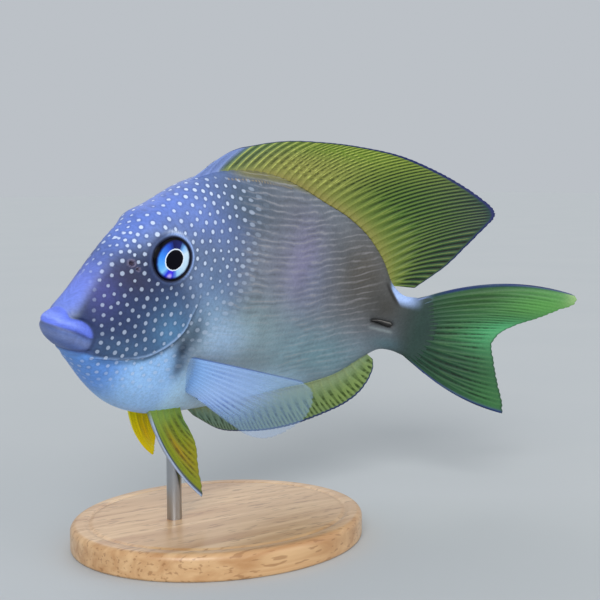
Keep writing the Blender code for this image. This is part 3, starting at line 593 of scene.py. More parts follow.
@dataclass(frozen=True)
class ScaledSkin:
    """Fish skin of minute scales under clear mucus: a fine grain with a soft, wet sheen.

    Sizes are in millimetres, and heights of waves in rows. The real scales are finer than
    scale_size: they are drawn as coarse as they need to be to show in the render.
    """

    row_spacing: float = 1.75
    wave_length: float = 9.0
    wave_height: float = 1.1
    cloud_size: float = 6.25
    scale_size: float = 0.45
    spot_colour: str = "#d6e4fb"
    warm_colour: str = "#b59a68"
    line_colour: str = "#a5a3a8"
    trough_colour: str = "#565a62"

    def _lines(self, w: Wiring, place: Socket, shown: Socket) -> tuple:
        """Wire the wavy lines along the flank.

        Args:
            w: the material's wiring.
            place: the pattern's coordinates in millimetres.
            shown: how strongly the lines show.

        Returns:
            The pale crests and the dark troughs between them: the height in rows, moved by slow
            noise, and its distance from the nearest whole row.
        """
        slow = w.add("VectorMath", {0: place, 1: (1.0 / self.wave_length, 0.32, 1.0)}, operation="MULTIPLY")
        wave = w.add("TexNoise", {"Vector": slow, "Scale": 1.0, "Detail": 2.0}, out="Fac", **FLAT)
        wave = w.add("Math", {0: wave, 1: self.wave_height}, operation="MULTIPLY")
        up = w.add("SeparateXYZ", {0: place}, out="Y")
        rows = w.add("Math", {0: up, 1: 1.0 / self.row_spacing, 2: wave}, operation="MULTIPLY_ADD")
        whole = w.add("Math", {0: rows}, operation="ROUND")
        beside = w.add("Math", {0: rows, 1: whole}, operation="SUBTRACT")
        beside = w.add("Math", {0: beside}, operation="ABSOLUTE")
        crest = w.add("MapRange", span(beside, 0.02, 0.23, 0.55, 0.0), **SMOOTH)
        trough = w.add("MapRange", span(beside, 0.20, 0.46, 0.0, 0.42), **SMOOTH)
        quick = w.add("VectorMath", {0: place, 1: (0.20, 0.5, 1.0)}, operation="MULTIPLY")
        broken = w.add("TexNoise", {"Vector": quick, "Scale": 1.0, "Detail": 2.0}, out="Fac", **FLAT)
        broken = w.add("MapRange", span(broken, 0.34, 0.62, 0.28), **SMOOTH)
        shown = w.add("Math", {0: shown, 1: broken}, operation="MULTIPLY")
        return tuple(w.add("Math", {0: part, 1: shown}, operation="MULTIPLY") for part in (crest, trough))

    def dress(self) -> Material:
        """Wire the skin's material.

        Returns:
            The material. It reads the painted ground, the pattern's coordinates in millimetres,
            the distance from the nearest spot in its radii, and the marks: the strengths of the
            spots and of the lines, and how warm a spot is.
        """
        w = Wiring("scaled_skin")
        ground = w.add("Attribute", out="Color", attribute_name="ground")
        place = w.add("Attribute", out="Vector", attribute_name="pattern")
        apart = w.add("Attribute", out="Fac", attribute_name="spot")
        marks = w.add("Attribute", out="Vector", attribute_name="marks")
        spots, lines, warm = w.add("SeparateXYZ", {0: marks}, out="X").node.outputs
        spot, halo = (w.add("Math", {0: w.add("MapRange", span(apart, *limits), **SMOOTH), 1: spots},
                            operation="MULTIPLY")
                      for limits in ((0.68, 1.12, 0.92, 0.0), (1.0, 2.1, 0.22, 0.0)))
        crest, trough = self._lines(w, place, lines)
        fine = 1.0 / self.scale_size
        scales = w.add("TexVoronoi", {"Vector": place, "Scale": fine, "Randomness": 0.8}, out="Distance",
                       voronoi_dimensions="2D")
        mottle, cloud = (
            w.add("TexNoise", {"Vector": place, "Scale": scale, "Detail": detail}, out="Fac", **FLAT)
            for scale, detail in ((fine * 0.55, 3.0), (1.0 / self.cloud_size, 2.0)))
        shade = w.add("MapRange", span(mottle, 0.3, 0.7, 0.92, 1.08))
        blotch = w.add("MapRange", span(cloud, 0.3, 0.7, 0.93, 1.07))
        edge = w.add("MapRange", span(scales, 0.25, 0.75, 1.02, 0.93))
        for other in (blotch, edge, w.add("Math", {0: 1.0, 1: halo}, operation="SUBTRACT")):
            shade = w.add("Math", {0: shade, 1: other}, operation="MULTIPLY")
        grey = w.add("CombineXYZ", {0: shade, 1: shade, 2: shade})
        pale = w.add("Mix", {0: warm, 6: self.spot_colour, 7: self.warm_colour}, data_type="RGBA")
        colour = w.add("Mix", {0: trough, 6: ground, 7: self.trough_colour}, data_type="RGBA")
        colour = w.add("Mix", {0: crest, 6: colour, 7: self.line_colour}, data_type="RGBA")
        colour = w.add("Mix", {0: 1.0, 6: colour, 7: grey}, data_type="RGBA", blend_type="MULTIPLY")
        colour = w.add("Mix", {0: spot, 6: colour, 7: pale}, data_type="RGBA")
        relief = w.add("Math", {0: scales, 1: -0.6, 2: mottle}, operation="MULTIPLY_ADD")
        relief = w.add("Math", {0: spot, 1: 0.35, 2: relief}, operation="MULTIPLY_ADD")
        bump = w.add("Bump", {"Height": relief, "Strength": 0.4, "Distance": 0.05 * MM})
        rough = w.add("MapRange", span(mottle, 0.0, 1.0, 0.36, 0.54))
        return w.finish({"Base Color": colour, "Normal": bump, "Roughness": rough},
                        Coat_Weight=0.08, Coat_Roughness=0.3, IOR=1.3)


@dataclass(frozen=True)
class FinSkin:
    """Thin skin stretched over fin rays: satin, with dark streaks on the web and pale rays."""

    name: str
    dark: str
    pale: str
    crisp: Point = (0.42, 0.70)
    wobble: float = 0.35
    clear: bool = False

    def _streaks(self, w: Wiring, grain: Socket) -> tuple:
        """Wire the streaks between the rays and the rays' crests.

        Args:
            w: the material's wiring.
            grain: the grain's coordinates in millimetres.

        Returns:
            The strengths of both. Slow noise moves them sideways, and quick noise breaks them.
        """
        web = w.add("Attribute", out="Fac", attribute_name="web")
        marks = w.add("Attribute", out="Vector", attribute_name="marks")
        dark, pale, broken = w.add("SeparateXYZ", {0: marks}, out="X").node.outputs
        slow = w.add("VectorMath", {0: grain, 1: (0.8, 0.25, 1.0)}, operation="MULTIPLY")
        wobble = w.add("TexNoise", {"Vector": slow, "Scale": 1.0, "Detail": 3.0}, out="Fac", **FLAT)
        beside = w.add("Math", {0: wobble, 1: 0.5}, operation="SUBTRACT")
        beside = w.add("Math", {0: beside, 1: self.wobble, 2: web}, operation="MULTIPLY_ADD")
        streak = w.add("MapRange", span(beside, *self.crisp), **SMOOTH)
        crest = w.add("MapRange", span(beside, 0.06, 0.32, 1.0, 0.0), **SMOOTH)
        quick = w.add("VectorMath", {0: grain, 1: (0.55, 0.85, 1.0)}, operation="MULTIPLY")
        gaps = w.add("TexNoise", {"Vector": quick, "Scale": 1.0, "Detail": 2.0}, out="Fac", **FLAT)
        gaps = w.add("MapRange", span(gaps, 0.40, 0.58, -1.0, 0.0), **SMOOTH)
        kept = w.add("Math", {0: gaps, 1: broken, 2: 1.0}, operation="MULTIPLY_ADD")
        return tuple(w.add("Math", {0: w.add("Math", {0: part, 1: kept}, operation="MULTIPLY"), 1: strength},
                           operation="MULTIPLY") for part, strength in ((streak, dark), (crest, pale)))

    def dress(self) -> Material:
        """Wire the fin's material.

        Returns:
            The material. It reads the painted ground, the distance from the nearest ray as a share
            of the web, the grain's coordinates in millimetres, and the marks: the strengths of the
            dark streaks and of the pale rays, and how broken both are. The dark colour multiplies
            the ground. A clear fin reads its film as alpha.
        """
        w = Wiring(self.name)
        ground = w.add("Attribute", out="Color", attribute_name="ground")
        grain = w.add("Attribute", out="Vector", attribute_name="grain")
        streak, crest = self._streaks(w, grain)
        speckle = w.add("TexNoise", {"Vector": grain, "Scale": 2.4, "Detail": 3.0}, out="Fac", **FLAT)
        shade = w.add("MapRange", span(speckle, 0.3, 0.7, 0.90, 1.08))
        grey = w.add("CombineXYZ", {0: shade, 1: shade, 2: shade})
        colour = w.add("Mix", {0: streak, 6: ground, 7: self.dark}, data_type="RGBA", blend_type="MULTIPLY")
        colour = w.add("Mix", {0: crest, 6: colour, 7: self.pale}, data_type="RGBA")
        colour = w.add("Mix", {0: 1.0, 6: colour, 7: grey}, data_type="RGBA", blend_type="MULTIPLY")
        bump = w.add("Bump", {"Height": speckle, "Strength": 0.3, "Distance": 0.05 * MM})
        links = {"Base Color": colour, "Normal": bump}
        if self.clear:
            links["Alpha"] = w.add("Attribute", out="Fac", attribute_name="film")
        return w.finish(links, Roughness=0.45, Coat_Weight=0.05, Coat_Roughness=0.35, IOR=1.3)


@dataclass(frozen=True)
class EyeGlass:
    """A fish's eye: a black pupil in a white ring, a mirror-like blue iris, and a clear cornea.

    The pupil and its ring are in iris radii. The bearings are shares of a turn round the iris.
    """

    pupil: float = 0.49
    ring: float = 0.57
    bearings: tuple = (
        (0.00, "#3c8cf0"), (0.09, "#58a6f4"), (0.16, "#86caf9"), (0.205, "#2f40e0"), (0.25, "#4d34ea"),
        (0.29, "#2a38d8"), (0.335, "#9ad0fa"), (0.42, "#c6e6fc"), (0.60, "#d2ebfd"), (0.67, "#78b6f5"),
        (0.71, "#17246c"), (0.80, "#0d1450"), (0.87, "#2450c8"), (1.00, "#3c8cf0"))

    def dress(self) -> Material:
        """Wire the eye's material.

        Returns:
            The material. It reads the place on the iris, in iris radii back and up from its middle.
            The iris is silvery behind the pupil, dark above it, violet below and blue before it.
        """
        w = Wiring("clear_cornea_over_iris")
        place = w.add("Attribute", out="Vector", attribute_name="iris")
        back, up, _ = w.add("SeparateXYZ", {0: place}, out="X").node.outputs
        out = w.add("VectorMath", {0: place}, out="Value", operation="LENGTH")
        bearing = w.add("VectorMath", {0: place}, out="Vector", operation="NORMALIZE")
        fibres = w.add("TexNoise", {"Vector": bearing, "Scale": 5.0, "Detail": 3.0}, out="Fac")
        fibres = w.add("Math", {0: fibres, 1: 0.5}, operation="SUBTRACT")
        turn = w.add("Math", {0: up, 1: back}, operation="ARCTAN2")
        turn = w.add("Math", {0: turn, 1: 0.5 / math.pi, 2: 0.5}, operation="MULTIPLY_ADD")
        turn = w.add("Math", {0: fibres, 1: 0.06, 2: turn}, operation="MULTIPLY_ADD")
        wavy = w.add("Math", {0: fibres, 1: 0.07, 2: out}, operation="MULTIPLY_ADD")
        colour = w.add("ValToRGB", {0: turn}, out="Color")
        set_bands(colour, self.bearings)
        core = w.add("VectorMath", {0: place, 1: (0.0, -0.84, 0.0)}, out="Value", operation="DISTANCE")
        for value, near, far, shade in (
                (core, 0.19, 0.03, "#bfaefc"), (wavy, 0.84, 0.97, "#0c1650"),
                (wavy, self.ring, self.ring - 0.03, "#e6f1fd"),
                (wavy, self.pupil + 0.02, self.pupil, "#02020c"), (out, 0.95, 1.0, "#010208")):
            share = w.add("MapRange", span(value, near, far), **SMOOTH)
            colour = w.add("Mix", {0: share, 6: colour, 7: shade}, data_type="RGBA")
        return w.finish({"Base Color": colour}, Roughness=0.25, IOR=1.12, Coat_Weight=0.25,
                        Coat_Roughness=0.03, Coat_IOR=1.33)


@dataclass(frozen=True)
class Bone:
    """Enamelled bone of the tail spine: dark, with a satin gloss and a painted highlight along its upper,
    cutting edge.
    """

    grain_size: float = 0.5

    def dress(self) -> Material:
        """Wire the spine's material: it reads how near a point is to the upper, cutting edge, where a painted
        highlight lies.
        """
        w = Wiring("enamelled_bone")
        edge = w.add("Attribute", out="Fac", attribute_name="edge")
        noise = w.add("TexNoise", {"Scale": 1.0 / (self.grain_size * MM), "Detail": 2.0,
                                   "Vector": w.add("TexCoord", out="Object")}, out="Fac")
        edge = w.add("Math", {0: noise, 1: 0.3, 2: edge}, operation="MULTIPLY_ADD")
        # painted highlight along the upper edge
        pale = w.add("MapRange", span(edge, 0.75, 1.1), **SMOOTH)
        colour = w.add("Mix", {0: pale, 6: "#12100f", 7: "#6b6864"}, data_type="RGBA")
        return w.finish({"Base Color": colour}, Roughness=0.45, IOR=1.45)


@dataclass(frozen=True)
class Beech:
    """Steamed beech, turned and given satin varnish: warm, fine-grained, with short dark flecks."""

    grain_width: float = 1.1
    fleck_width: float = 0.35
    growth: tuple = ((0.32, "#b98a5b"), (0.70, "#dcb687"))

    def dress(self) -> Material:
        """Wire the wood: noise drawn out along the plank for grain, and thinner noise for flecks.

        Returns:
            The material. The widths are in millimetres; noise repeats in two or three of them.
        """
        w = Wiring("varnished_beech")
        place = w.add("TexCoord", out="Object")
        drawn = w.add("Mapping", {"Vector": place, "Scale": (0.07, 1.0, 1.0)})
        grain = w.add("TexNoise", {"Vector": drawn, "Scale": 1.0 / (self.grain_width * 3 * MM), "Detail": 4.0,
                                   "Distortion": 0.6}, out="Fac")
        short = w.add("Mapping", {"Vector": place, "Scale": (0.16, 1.0, 1.0)})
        fleck = w.add("TexNoise", {"Vector": short, "Scale": 1.0 / (self.fleck_width * 2 * MM),
                                   "Detail": 1.0}, out="Fac")
        fleck = w.add("MapRange", span(fleck, 0.60, 0.68, 0.0, 0.55), **SMOOTH)
        colour = w.add("ValToRGB", {0: grain}, out="Color")
        set_bands(colour, self.growth)
        colour = w.add("Mix", {0: fleck, 6: colour, 7: "#8f6239"}, data_type="RGBA")
        bump = w.add("Bump", {"Height": grain, "Strength": 0.25, "Distance": 0.05 * MM})
        return w.finish({"Base Color": colour, "Normal": bump}, Roughness=0.38, Coat_Weight=0.25,
                        Coat_Roughness=0.25)


@dataclass(frozen=True)
class BrushedSteel:
    """Stainless steel rod, brushed round its girth: grey metal with a fine ringed shimmer."""

    brush_spacing: float = 0.12

    def dress(self) -> Material:
        """Wire the steel: noise squeezed along the rod's axis changes its roughness and bump."""
        w = Wiring("brushed_steel")
        drawn = w.add("Mapping", {"Vector": w.add("TexCoord", out="Object"), "Scale": (0.05, 0.05, 1.0)})
        rings = w.add("TexNoise", {"Vector": drawn, "Scale": 1.0 / (self.brush_spacing * MM),
                                   "Detail": 2.0}, out="Fac")
        rough = w.add("MapRange", span(rings, 0.0, 1.0, 0.22, 0.42))
        bump = w.add("Bump", {"Height": rings, "Strength": 0.2, "Distance": 0.01 * MM})
        return w.finish({"Roughness": rough, "Normal": bump}, Base_Color="#aeb1b5", Metallic=1.0)


@dataclass
class EyeSeat:
    """Where an eye sits: its middle, its opening in the skin, and its way out, in fish coordinates."""

    centre: Point = (0.2015, 0.0365)
    radius: float = 0.047
    depth: float = 0.024
    sunk: float = 0.0145
    forward: float = math.radians(13)
    upward: float = math.radians(6)
    opening: float = 0.0384
    wide: float = 1.06
    lean: float = 0.12
    rim: float = 0.0030

    def distance(self, x: Array, z: Array) -> Array:
        """Give the distance from the eye's middle in openings: a wide oval that leans back."""
        up = z - self.centre[1]
        return np.hypot((x - self.centre[0] - self.lean * up) / self.wide, up) / self.opening


@dataclass
class Spots:
    """Pale spots spread evenly over the head, drawn out into dashes behind it."""

    length: float
    spacing: float = 2.52 * MM
    along: float = 0.80
    radius: float = 0.48 * MM
    dot_strength: float = 0.6
    dot_size: float = 0.78
    rounds: int = 30
    seed: int = 7

    @staticmethod
    def nearest(points: Array, centres: Array) -> Array:
        """Give the number of each point's nearest centre: least of c squared less twice p times c."""
        gaps = np.sum(centres ** 2, axis=1) - 2.0 * points @ centres.T
        return np.argmin(gaps, axis=1)

    def scatter(self, places: Array, weight: Array) -> Array:
        """Spread spots over candidate places.

        Args:
            places: points of the skin.
            weight: the area that each stands for, times how densely it carries spots.

        Returns:
            The spots' centres: one for each cell of a honeycomb of the given spacing. They start
            at random, and in each round move to the weighted mean of the places nearest to them,
            where distances along the fish count for less.
        """
        squeeze = np.array([self.along, 1.0, 1.0])
        places = places * squeeze
        chance = np.random.default_rng(self.seed)
        count = int(weight.sum() / (math.sqrt(0.75) * (self.spacing / self.length) ** 2))
        centres = places[chance.choice(len(places), count, replace=False, p=weight / weight.sum())]
        for _ in range(self.rounds):
            owner = self.nearest(places, centres)
            mass = np.bincount(owner, weight, count) + TINY
            sums = [np.bincount(owner, weight * column, count) for column in places.T]
            centres = np.stack(sums, axis=-1) / mass[:, None]
        return centres / squeeze

    def paint(self, skin: Array, carry: Array, crowd: Array, dash: Array,
              row: Array) -> Array:
        """Lay the spots on the skin.

        Args:
            skin: the skin's grid of points.
            carry: how strongly a spot would show at each.
            crowd: how densely spots lie there.
            dash: how far a spot would be drawn out at each, 0 to 1.
            row: centres of the small warm dots along the foot of the dorsal fin.

        Returns:
            For each point the distance from its nearest spot in radii, and that spot's strength
            and warmth. A dash's distance along the fish counts for less.
        """
        area = np.linalg.norm(np.cross(np.gradient(skin, axis=0), np.gradient(skin, axis=1)), axis=-1)
        points, shown = skin.reshape(-1, 3), carry.ravel()
        able = shown > 0.02
        spots = self.scatter(points[able], (area * crowd).ravel()[able])
        chance = np.random.default_rng(self.seed + 1)
        home = np.concatenate([self.nearest(part, points) for part in np.array_split(spots, 24)])
        centres = np.concatenate([spots, row])
        varied = shown[home] * chance.uniform(0.78, 1.0, len(spots))
        strength = np.concatenate([varied, np.full(len(row), self.dot_strength)])
        size = np.concatenate([chance.uniform(0.86, 1.16, len(spots)), np.full(len(row), self.dot_size)])
        squeeze = np.concatenate([1.0 - 0.62 * dash.ravel()[home], np.ones(len(row))])
        warm = np.concatenate([np.zeros(len(spots)), np.ones(len(row))])
        owner = np.concatenate([self.nearest(part, centres) for part in np.array_split(points, 8)])
        apart = points - centres[owner]
        apart[:, 0] *= squeeze[owner]
        apart = np.linalg.norm(apart, axis=1) / (size[owner] * self.radius / self.length)
        painted = np.stack([np.minimum(apart, 4.0), strength[owner], warm[owner]], axis=-1)
        return painted.reshape(*carry.shape, 3)


def on_flank(angle: Array) -> Array:
    """Tell which angles round the section lie on a flank, away from the back and the belly."""
    return np.abs(np.sin(angle)) > 0.25


@dataclass(frozen=True)
class Places:
    """The skin's points, as its relief, its paint and its pattern read them.

    x and z are fish coordinates, and angle goes round the section. lips is the share of the way
    back over the lips, eye the distance from the eye's middle in openings, and behind the distance
    behind the edge of the gill cover.
    """

    x: Array
    z: Array
    angle: Array
    lips: Array
    eye: Array
    behind: Array


@dataclass
class BodySkin:
    """The whole skin from the lips to the root of the tail fin, as one closed surface.

    rings counts those of the muzzle, the cheek, the flank, the tail stem and the sheath round the
    tail fin's root. The patches are laid on the flank, inside the gill cover, behind it, and, as
    painted shade, in the hollow over the pectoral fin. A nostril is its x, z and size.
    """

    form: FishForm
    eye: EyeSeat
    rings: tuple[int, ...] = (62, 110, 118, 30, 14)
    around: int = 272
    shoulder_x: float = 0.33
    stem_x: float = 0.872
    sheath_end: float = 1.060
    sheath_fan: float = 0.43
    sheath_thin: float = 0.90
    lip_swell: float = 0.0034
    lip_groove: float = 0.0040
    lip_reach: float = 1.22
    mouth_rise: float = 0.001
    mouth_depth: float = 0.0024
    mouth_half_height: float = 0.0028
    chin_depth: float = 0.0022
    brow: Point = (0.176, 0.082)
    brow_size: float = 0.024
    brow_rise: float = 0.0085
    cover_step: float = 0.0030
    cover_gap: float = 0.0042
    cover: Edge = Edge((
        (0.290, 0.020), (0.287, -0.030), (0.278, -0.060), (0.274, -0.082), (0.259, -0.104),
        (0.233, -0.127), (0.200, -0.146), (0.162, -0.156), (0.119, -0.161), (0.088, -0.163),
        (0.070, -0.164)))
    nostrils: tuple[tuple[float, float, float], ...] = ((0.1230, 0.0145, 0.0054), (0.1350, 0.0065, 0.0030))
    nostril_middle: Point = (0.128, 0.0105)
    nostril_spread: float = 0.010
    nostril_depth: float = 0.0050
    nostril_lip: float = 0.0011
    spine_x: Point = (0.897, 0.952)
    spine_z: float = -0.006
    spine_groove: float = 0.0058
    sweep_from: float = 0.41
    sweep: float = 0.375
    cheek_top: Line = Line((
        (-0.01, -0.10), (0.04, -0.078), (0.07, -0.022), (0.09, 0.004), (0.14, 0.032), (0.20, 0.045),
        (0.30, 0.055)))
    fin_foot: Line = Line((
        (0.30, 0.20), (0.355, 0.210), (0.413, 0.219), (0.478, 0.225), (0.62, 0.228), (0.692, 0.224),
        (0.741, 0.218), (0.789, 0.206), (0.85, 0.180), (0.897, 0.136)))
    flank_patches: tuple[Spray, ...] = (
        Spray("#6c717b", (0.52, 0.17), (0.20, 0.07), 0.9),
        Spray("#858698", (0.58, 0.05), (0.15, 0.10), 0.85),
        Spray("#a194c8", (0.625, 0.075), (0.075, 0.095), 0.42),
        Spray("#8fa8ad", (0.46, -0.08), (0.18, 0.075), 0.9),
        Spray("#86a8b8", (0.69, -0.11), (0.16, 0.075), 0.9),
        Spray("#7e88a2", (0.69, 0.045), (0.08, 0.06), 0.6),
        Spray("#4d483f", (0.85, 0.09), (0.14, 0.15), 0.95),
        Spray("#3b3a35", (0.93, 0.03), (0.07, 0.06), 0.9),
        Spray("#688b96", (0.80, -0.11), (0.12, 0.05), 0.8))
    cheek_patches: tuple[Spray, ...] = (
        Spray("#3d3a52", (0.125, -0.005), (0.045, 0.030), 0.8),
        Spray("#313c5c", (0.150, 0.014), (0.034, 0.026), 0.8),
        Spray("#5c8cb6", (0.240, -0.095), (0.055, 0.050), 0.8),
        Spray("#4f7096", (0.16, -0.140), (0.08, 0.024), 0.7))
    shoulder_patches: tuple[Spray, ...] = (
        Spray("#6b86ac", (0.31, -0.01), (0.06, 0.06), 0.7),
        Spray("#8fb2d4", (0.345, -0.055), (0.050, 0.040), 0.7),
        Spray("#a8c8ea", (0.390, -0.095), (0.085, 0.040), 0.85))
    # Painted shade in the hollow over the pectoral fin, darkest just before its root.
    hollow_shade_patches: tuple[Spray, ...] = (
        Spray("#31495f", (0.303, -0.088), (0.026, 0.034), 0.8),
        Spray("#1f3247", (0.284, -0.125), (0.019, 0.028), 1.0),
        Spray("#34485e", (0.292, -0.158), (0.016, 0.022), 0.8))

    def _angles(self) -> Array:
        """Give angles that lie evenly along the girth of the shoulder, symmetrical left and right."""
        dense = np.linspace(0.0, math.pi, 2001)
        line = self.form.section(np.full_like(dense, self.shoulder_x), dense)
        along = running(np.linalg.norm(np.diff(line, axis=0), axis=1))
        half = np.interp(np.linspace(0.0, along[-1], self.around // 2 + 1), along, dense)
        return np.concatenate([half, 2.0 * math.pi - half[-2:0:-1]])

    def _stations(self, angle: Array) -> Array:
        """Give x of every ring at every angle: packed close at the lips and at the gill opening."""
        level = 0.0 * angle
        nose, stem, end = self.form.snout_x, level + self.stem_x, level + 1.0
        lips = nose + (self.form.lips_end(angle) - nose) * self.lip_reach
        gill = self.form.gill_edge(angle)
        steps = [np.linspace(0.0, 1.0, count + 1)[1:] for count in self.rings]
        parts = ((level + nose, lips, steps[0] ** 1.6), (lips, gill, 1.0 - (1.0 - steps[1]) ** 1.35),
                 (gill, stem, steps[2] ** 1.2), (stem, end, steps[3]),
                 (end, level + self.sheath_end, steps[4]))
        return np.concatenate([start + (stop - start) * share[:, None] for start, stop, share in parts])

    def _smooth(self, x: Array, angle: Array) -> Array:
        """Lay the smooth body's points, drawn together round the eye and the nostrils.

        Args:
            x: each point's station.
            angle: each point's angle round the section.

        Returns:
            Fish coordinates. Near the eye the distance from its opening is scaled by a share that
            grows with it, so many points lie close to the rim; round the nostrils likewise.
        """
        points = self.form.section(x, angle)
        flank = on_flank(angle)
        nose_x, nose_z = self.nostril_middle
        nostrils = np.hypot(points[..., 0] - nose_x, points[..., 1] - nose_z) / self.nostril_spread
        rim = self.eye.distance(points[..., 0], points[..., 1])
        for (cx, cz), out, ring, reach, share in ((self.eye.centre, rim, 1.0, 0.55, 0.30),
                                                  (self.nostril_middle, nostrils, 0.0, 2.6, 0.42)):
            away = np.abs(out - ring)
            packed = away * (share + (1.0 - share) * rise(away, 0.0, reach))
            moved = ring + np.sign(out - ring) * packed
            scale = np.where((away < reach) & flank & (out > 1e-6), moved / np.maximum(out, 1e-6), 1.0)
            points[..., 0] = cx + (points[..., 0] - cx) * scale
            points[..., 1] = cz + (points[..., 1] - cz) * scale
            wide = self.form.flank_width(points[..., 0], points[..., 1]) * np.sign(points[..., 2])
            points[..., 2] = np.where(scale != 1.0, wide, points[..., 2])
        return self._sheath(points, x, angle)

    def _sheath(self, points: Array, x: Array, angle: Array) -> Array:
        """Run the skin out over the root of the tail fin.

        Args:
            points: the smooth body's points.
            x: each point's station.
            angle: each point's angle round the section.

        Returns:
            The points, where those behind the tail stem fan out with the fin's outer rays and thin
            down until they dive into the fin.
        """
        t = np.clip((x - 1.0) / (self.sheath_end - 1.0), 0.0, 1.0)
        z = points[..., 1] * (1.0 + self.sheath_fan * t * np.abs(np.cos(angle)))
        w = points[..., 2] * (1.0 - self.sheath_thin * rise(t, -0.15, 1.0))
        return np.where((x > 1.0)[..., None], np.stack([points[..., 0], z, w], axis=-1), points)

    def _read(self, x: Array, z: Array, angle: Array) -> Places:
        """Measure what the relief, the paint and the pattern read at the smooth body's points."""
        lips = (x - self.form.snout_x) / (self.form.lips_end(angle) - self.form.snout_x)
        return Places(x, z, angle, lips, self.eye.distance(x, z), self.cover.beside(x, z))

    def _head_relief(self, at: Places) -> Array:
        """Give how far the head's skin stands out from the smooth body.

        Args:
            at: the smooth body's points.

        Returns:
            The sum of the lips' swell, less the groove behind them, the crease of the closed mouth
            and the chin's fold, with the rim of the orbit, the brow, and the gill cover's raised
            edge before the crevice behind it.
        """
        side = np.abs(np.sin(at.angle)) ** 1.5
        lips = self.lip_swell * (0.35 + 0.65 * side) * np.sin(math.pi * np.clip(at.lips, 0.0, 1.0))
        groove = self.lip_groove * (0.15 + 0.85 * side) * bell(at.lips, 1.08, 0.11)
        slit = bell(at.z, self.form.widest(at.x) + self.mouth_rise, self.mouth_half_height)
        slit = self.mouth_depth * slit * rise(at.lips, 1.0, 0.82) * rise(at.lips, 0.05, 0.30)
        orbit = self.eye.rim * bell(at.eye, 1.13, 0.18)
        brow_x, brow_z = self.brow
        brow = self.brow_rise * bell(at.x, brow_x, self.brow_size) * bell(at.z, brow_z, self.brow_size)
        shown = rise(at.z, 0.0, -0.055) * (0.40 + 0.60 * rise(at.x, 0.15, 0.22)) * rise(at.x, 0.080, 0.105)
        shown = shown * rise(at.z, -0.22, -0.19)
        cover = np.where(at.behind < 0.0, self.cover_step * np.exp(at.behind / 0.030), 0.0)
        crevice = np.where(at.behind > 0.0, self.cover_gap * np.exp(-at.behind / 0.011), 0.0)
        chin = self.chin_depth * self._chin_fold(at, 0.0035)
        return lips - groove - slit + orbit + brow - chin + shown * (cover - crevice)

    @staticmethod
    def _chin_fold(at: Places, reach: float) -> Array:
        """Give the fold behind the chin: a bell of that reach about a rising line, fading at its ends."""
        line = bell(at.z, -0.159 + 0.12 * (at.x - 0.03), reach)
        return line * rise(at.x, 0.02, 0.045) * rise(at.x, 0.10, 0.075)

    @staticmethod
    def _nostril_ring(at: Places, nostril: tuple[float, float, float]) -> Array:
        """Give the distance from a nostril's middle in its radii: it is a little wider than high."""
        x, z, size = nostril
        return np.hypot((at.x - x) / size, (at.z - z) / (size * 0.85))

    def _slot(self, x: Array, front_fade: float, rear_fade: float) -> Array:
        """Give the tail spine's slot along the fish, 1 in it: the fades are those inside its ends."""
        front, rear = self.spine_x
        return rise(x, front - 0.008, front + front_fade) * rise(x, rear + 0.010, rear - rear_fade)

    def _openings(self, at: Places) -> Array:
        """Give how far the skin sinks at the eyes, the nostrils and the tail spines.

        Args:
            at: the smooth body's points.

        Returns:
            Depths: behind an eye the skin follows the back half of the eyeball's ellipsoid, a
            nostril is a round pit, and a spine lies in a groove with a rounded floor.
        """
        flank = on_flank(at.angle)
        share = np.clip(at.eye * self.eye.opening / (self.eye.radius * 1.03), 0.0, 1.0)
        cup = self.eye.sunk + self.eye.depth * 1.03 * np.sqrt(1.0 - share ** 2)
        depth = np.where((at.eye < 0.985) & flank, cup, 0.0)
        for nostril in self.nostrils:
            ring = self._nostril_ring(at, nostril)
            pit = self.nostril_depth * rise(ring, 1.05, 0.55) - self.nostril_lip * bell(ring, 1.25, 0.25)
            depth = depth + np.where(flank, pit, 0.0)
        return depth + self.spine_groove * self._slot(at.x, 0.006, 0.004) * bell(at.z, self.spine_z, 0.0075)

    @staticmethod
    def _push(points: Array, amount: Array) -> Array:
        """Move points out along the surface's normals.

        Args:
            points: rings of points, in fish coordinates.
            amount: how far each point moves.

        Returns:
            The moved points. A normal is the cross product of the way round the ring and the way
            to the next ring, turned to face away from the ring's middle.
        """
        along = np.gradient(points, axis=0)
        wrapped = np.concatenate([points[:, -1:], points, points[:, :1]], axis=1)
        round_ring = (wrapped[:, 2:] - wrapped[:, :-2]) / 2.0
        normal = np.cross(round_ring, along)
        normal /= np.linalg.norm(normal, axis=-1, keepdims=True) + TINY
        outward = points[:, :, 1:] - points.mean(axis=1, keepdims=True)[:, :, 1:]
        flip = np.sign(np.sum(normal[:, :, 1:] * outward, axis=(1, 2)))
        return points + normal * flip[:, None, None] * amount[..., None]

    def _pattern(self, points: Array) -> Array:
        """Give the lines' own coordinates, in millimetres.

        Args:
            points: the smooth body's.

        Returns:
            Back along the fish, and up the flank along the skin from its widest height. Behind the
            shoulder the rows sweep upwards by the square of the distance, as the lines do.
        """
        half = self.around // 2
        left = points[:, :half + 1]
        steps = np.linalg.norm(np.diff(left, axis=1)[..., 1:], axis=-1)
        down = np.concatenate([np.zeros((len(points), 1)), np.cumsum(steps, axis=1)], axis=1)
        side = np.argmin(np.abs(self._angles()[:half + 1] - math.pi / 2))
        up = self.form.widest(left[:, side:side + 1, 0]) + down[:, side:side + 1] - down
        up = np.concatenate([up, up[:, half - 1:0:-1]], axis=1)
        sweep = self.sweep * np.clip(points[..., 0] - self.sweep_from, 0.0, 1.0) ** 2
        return np.stack([points[..., 0], up - sweep, 0.0 * up], axis=-1) * self.form.length / MM

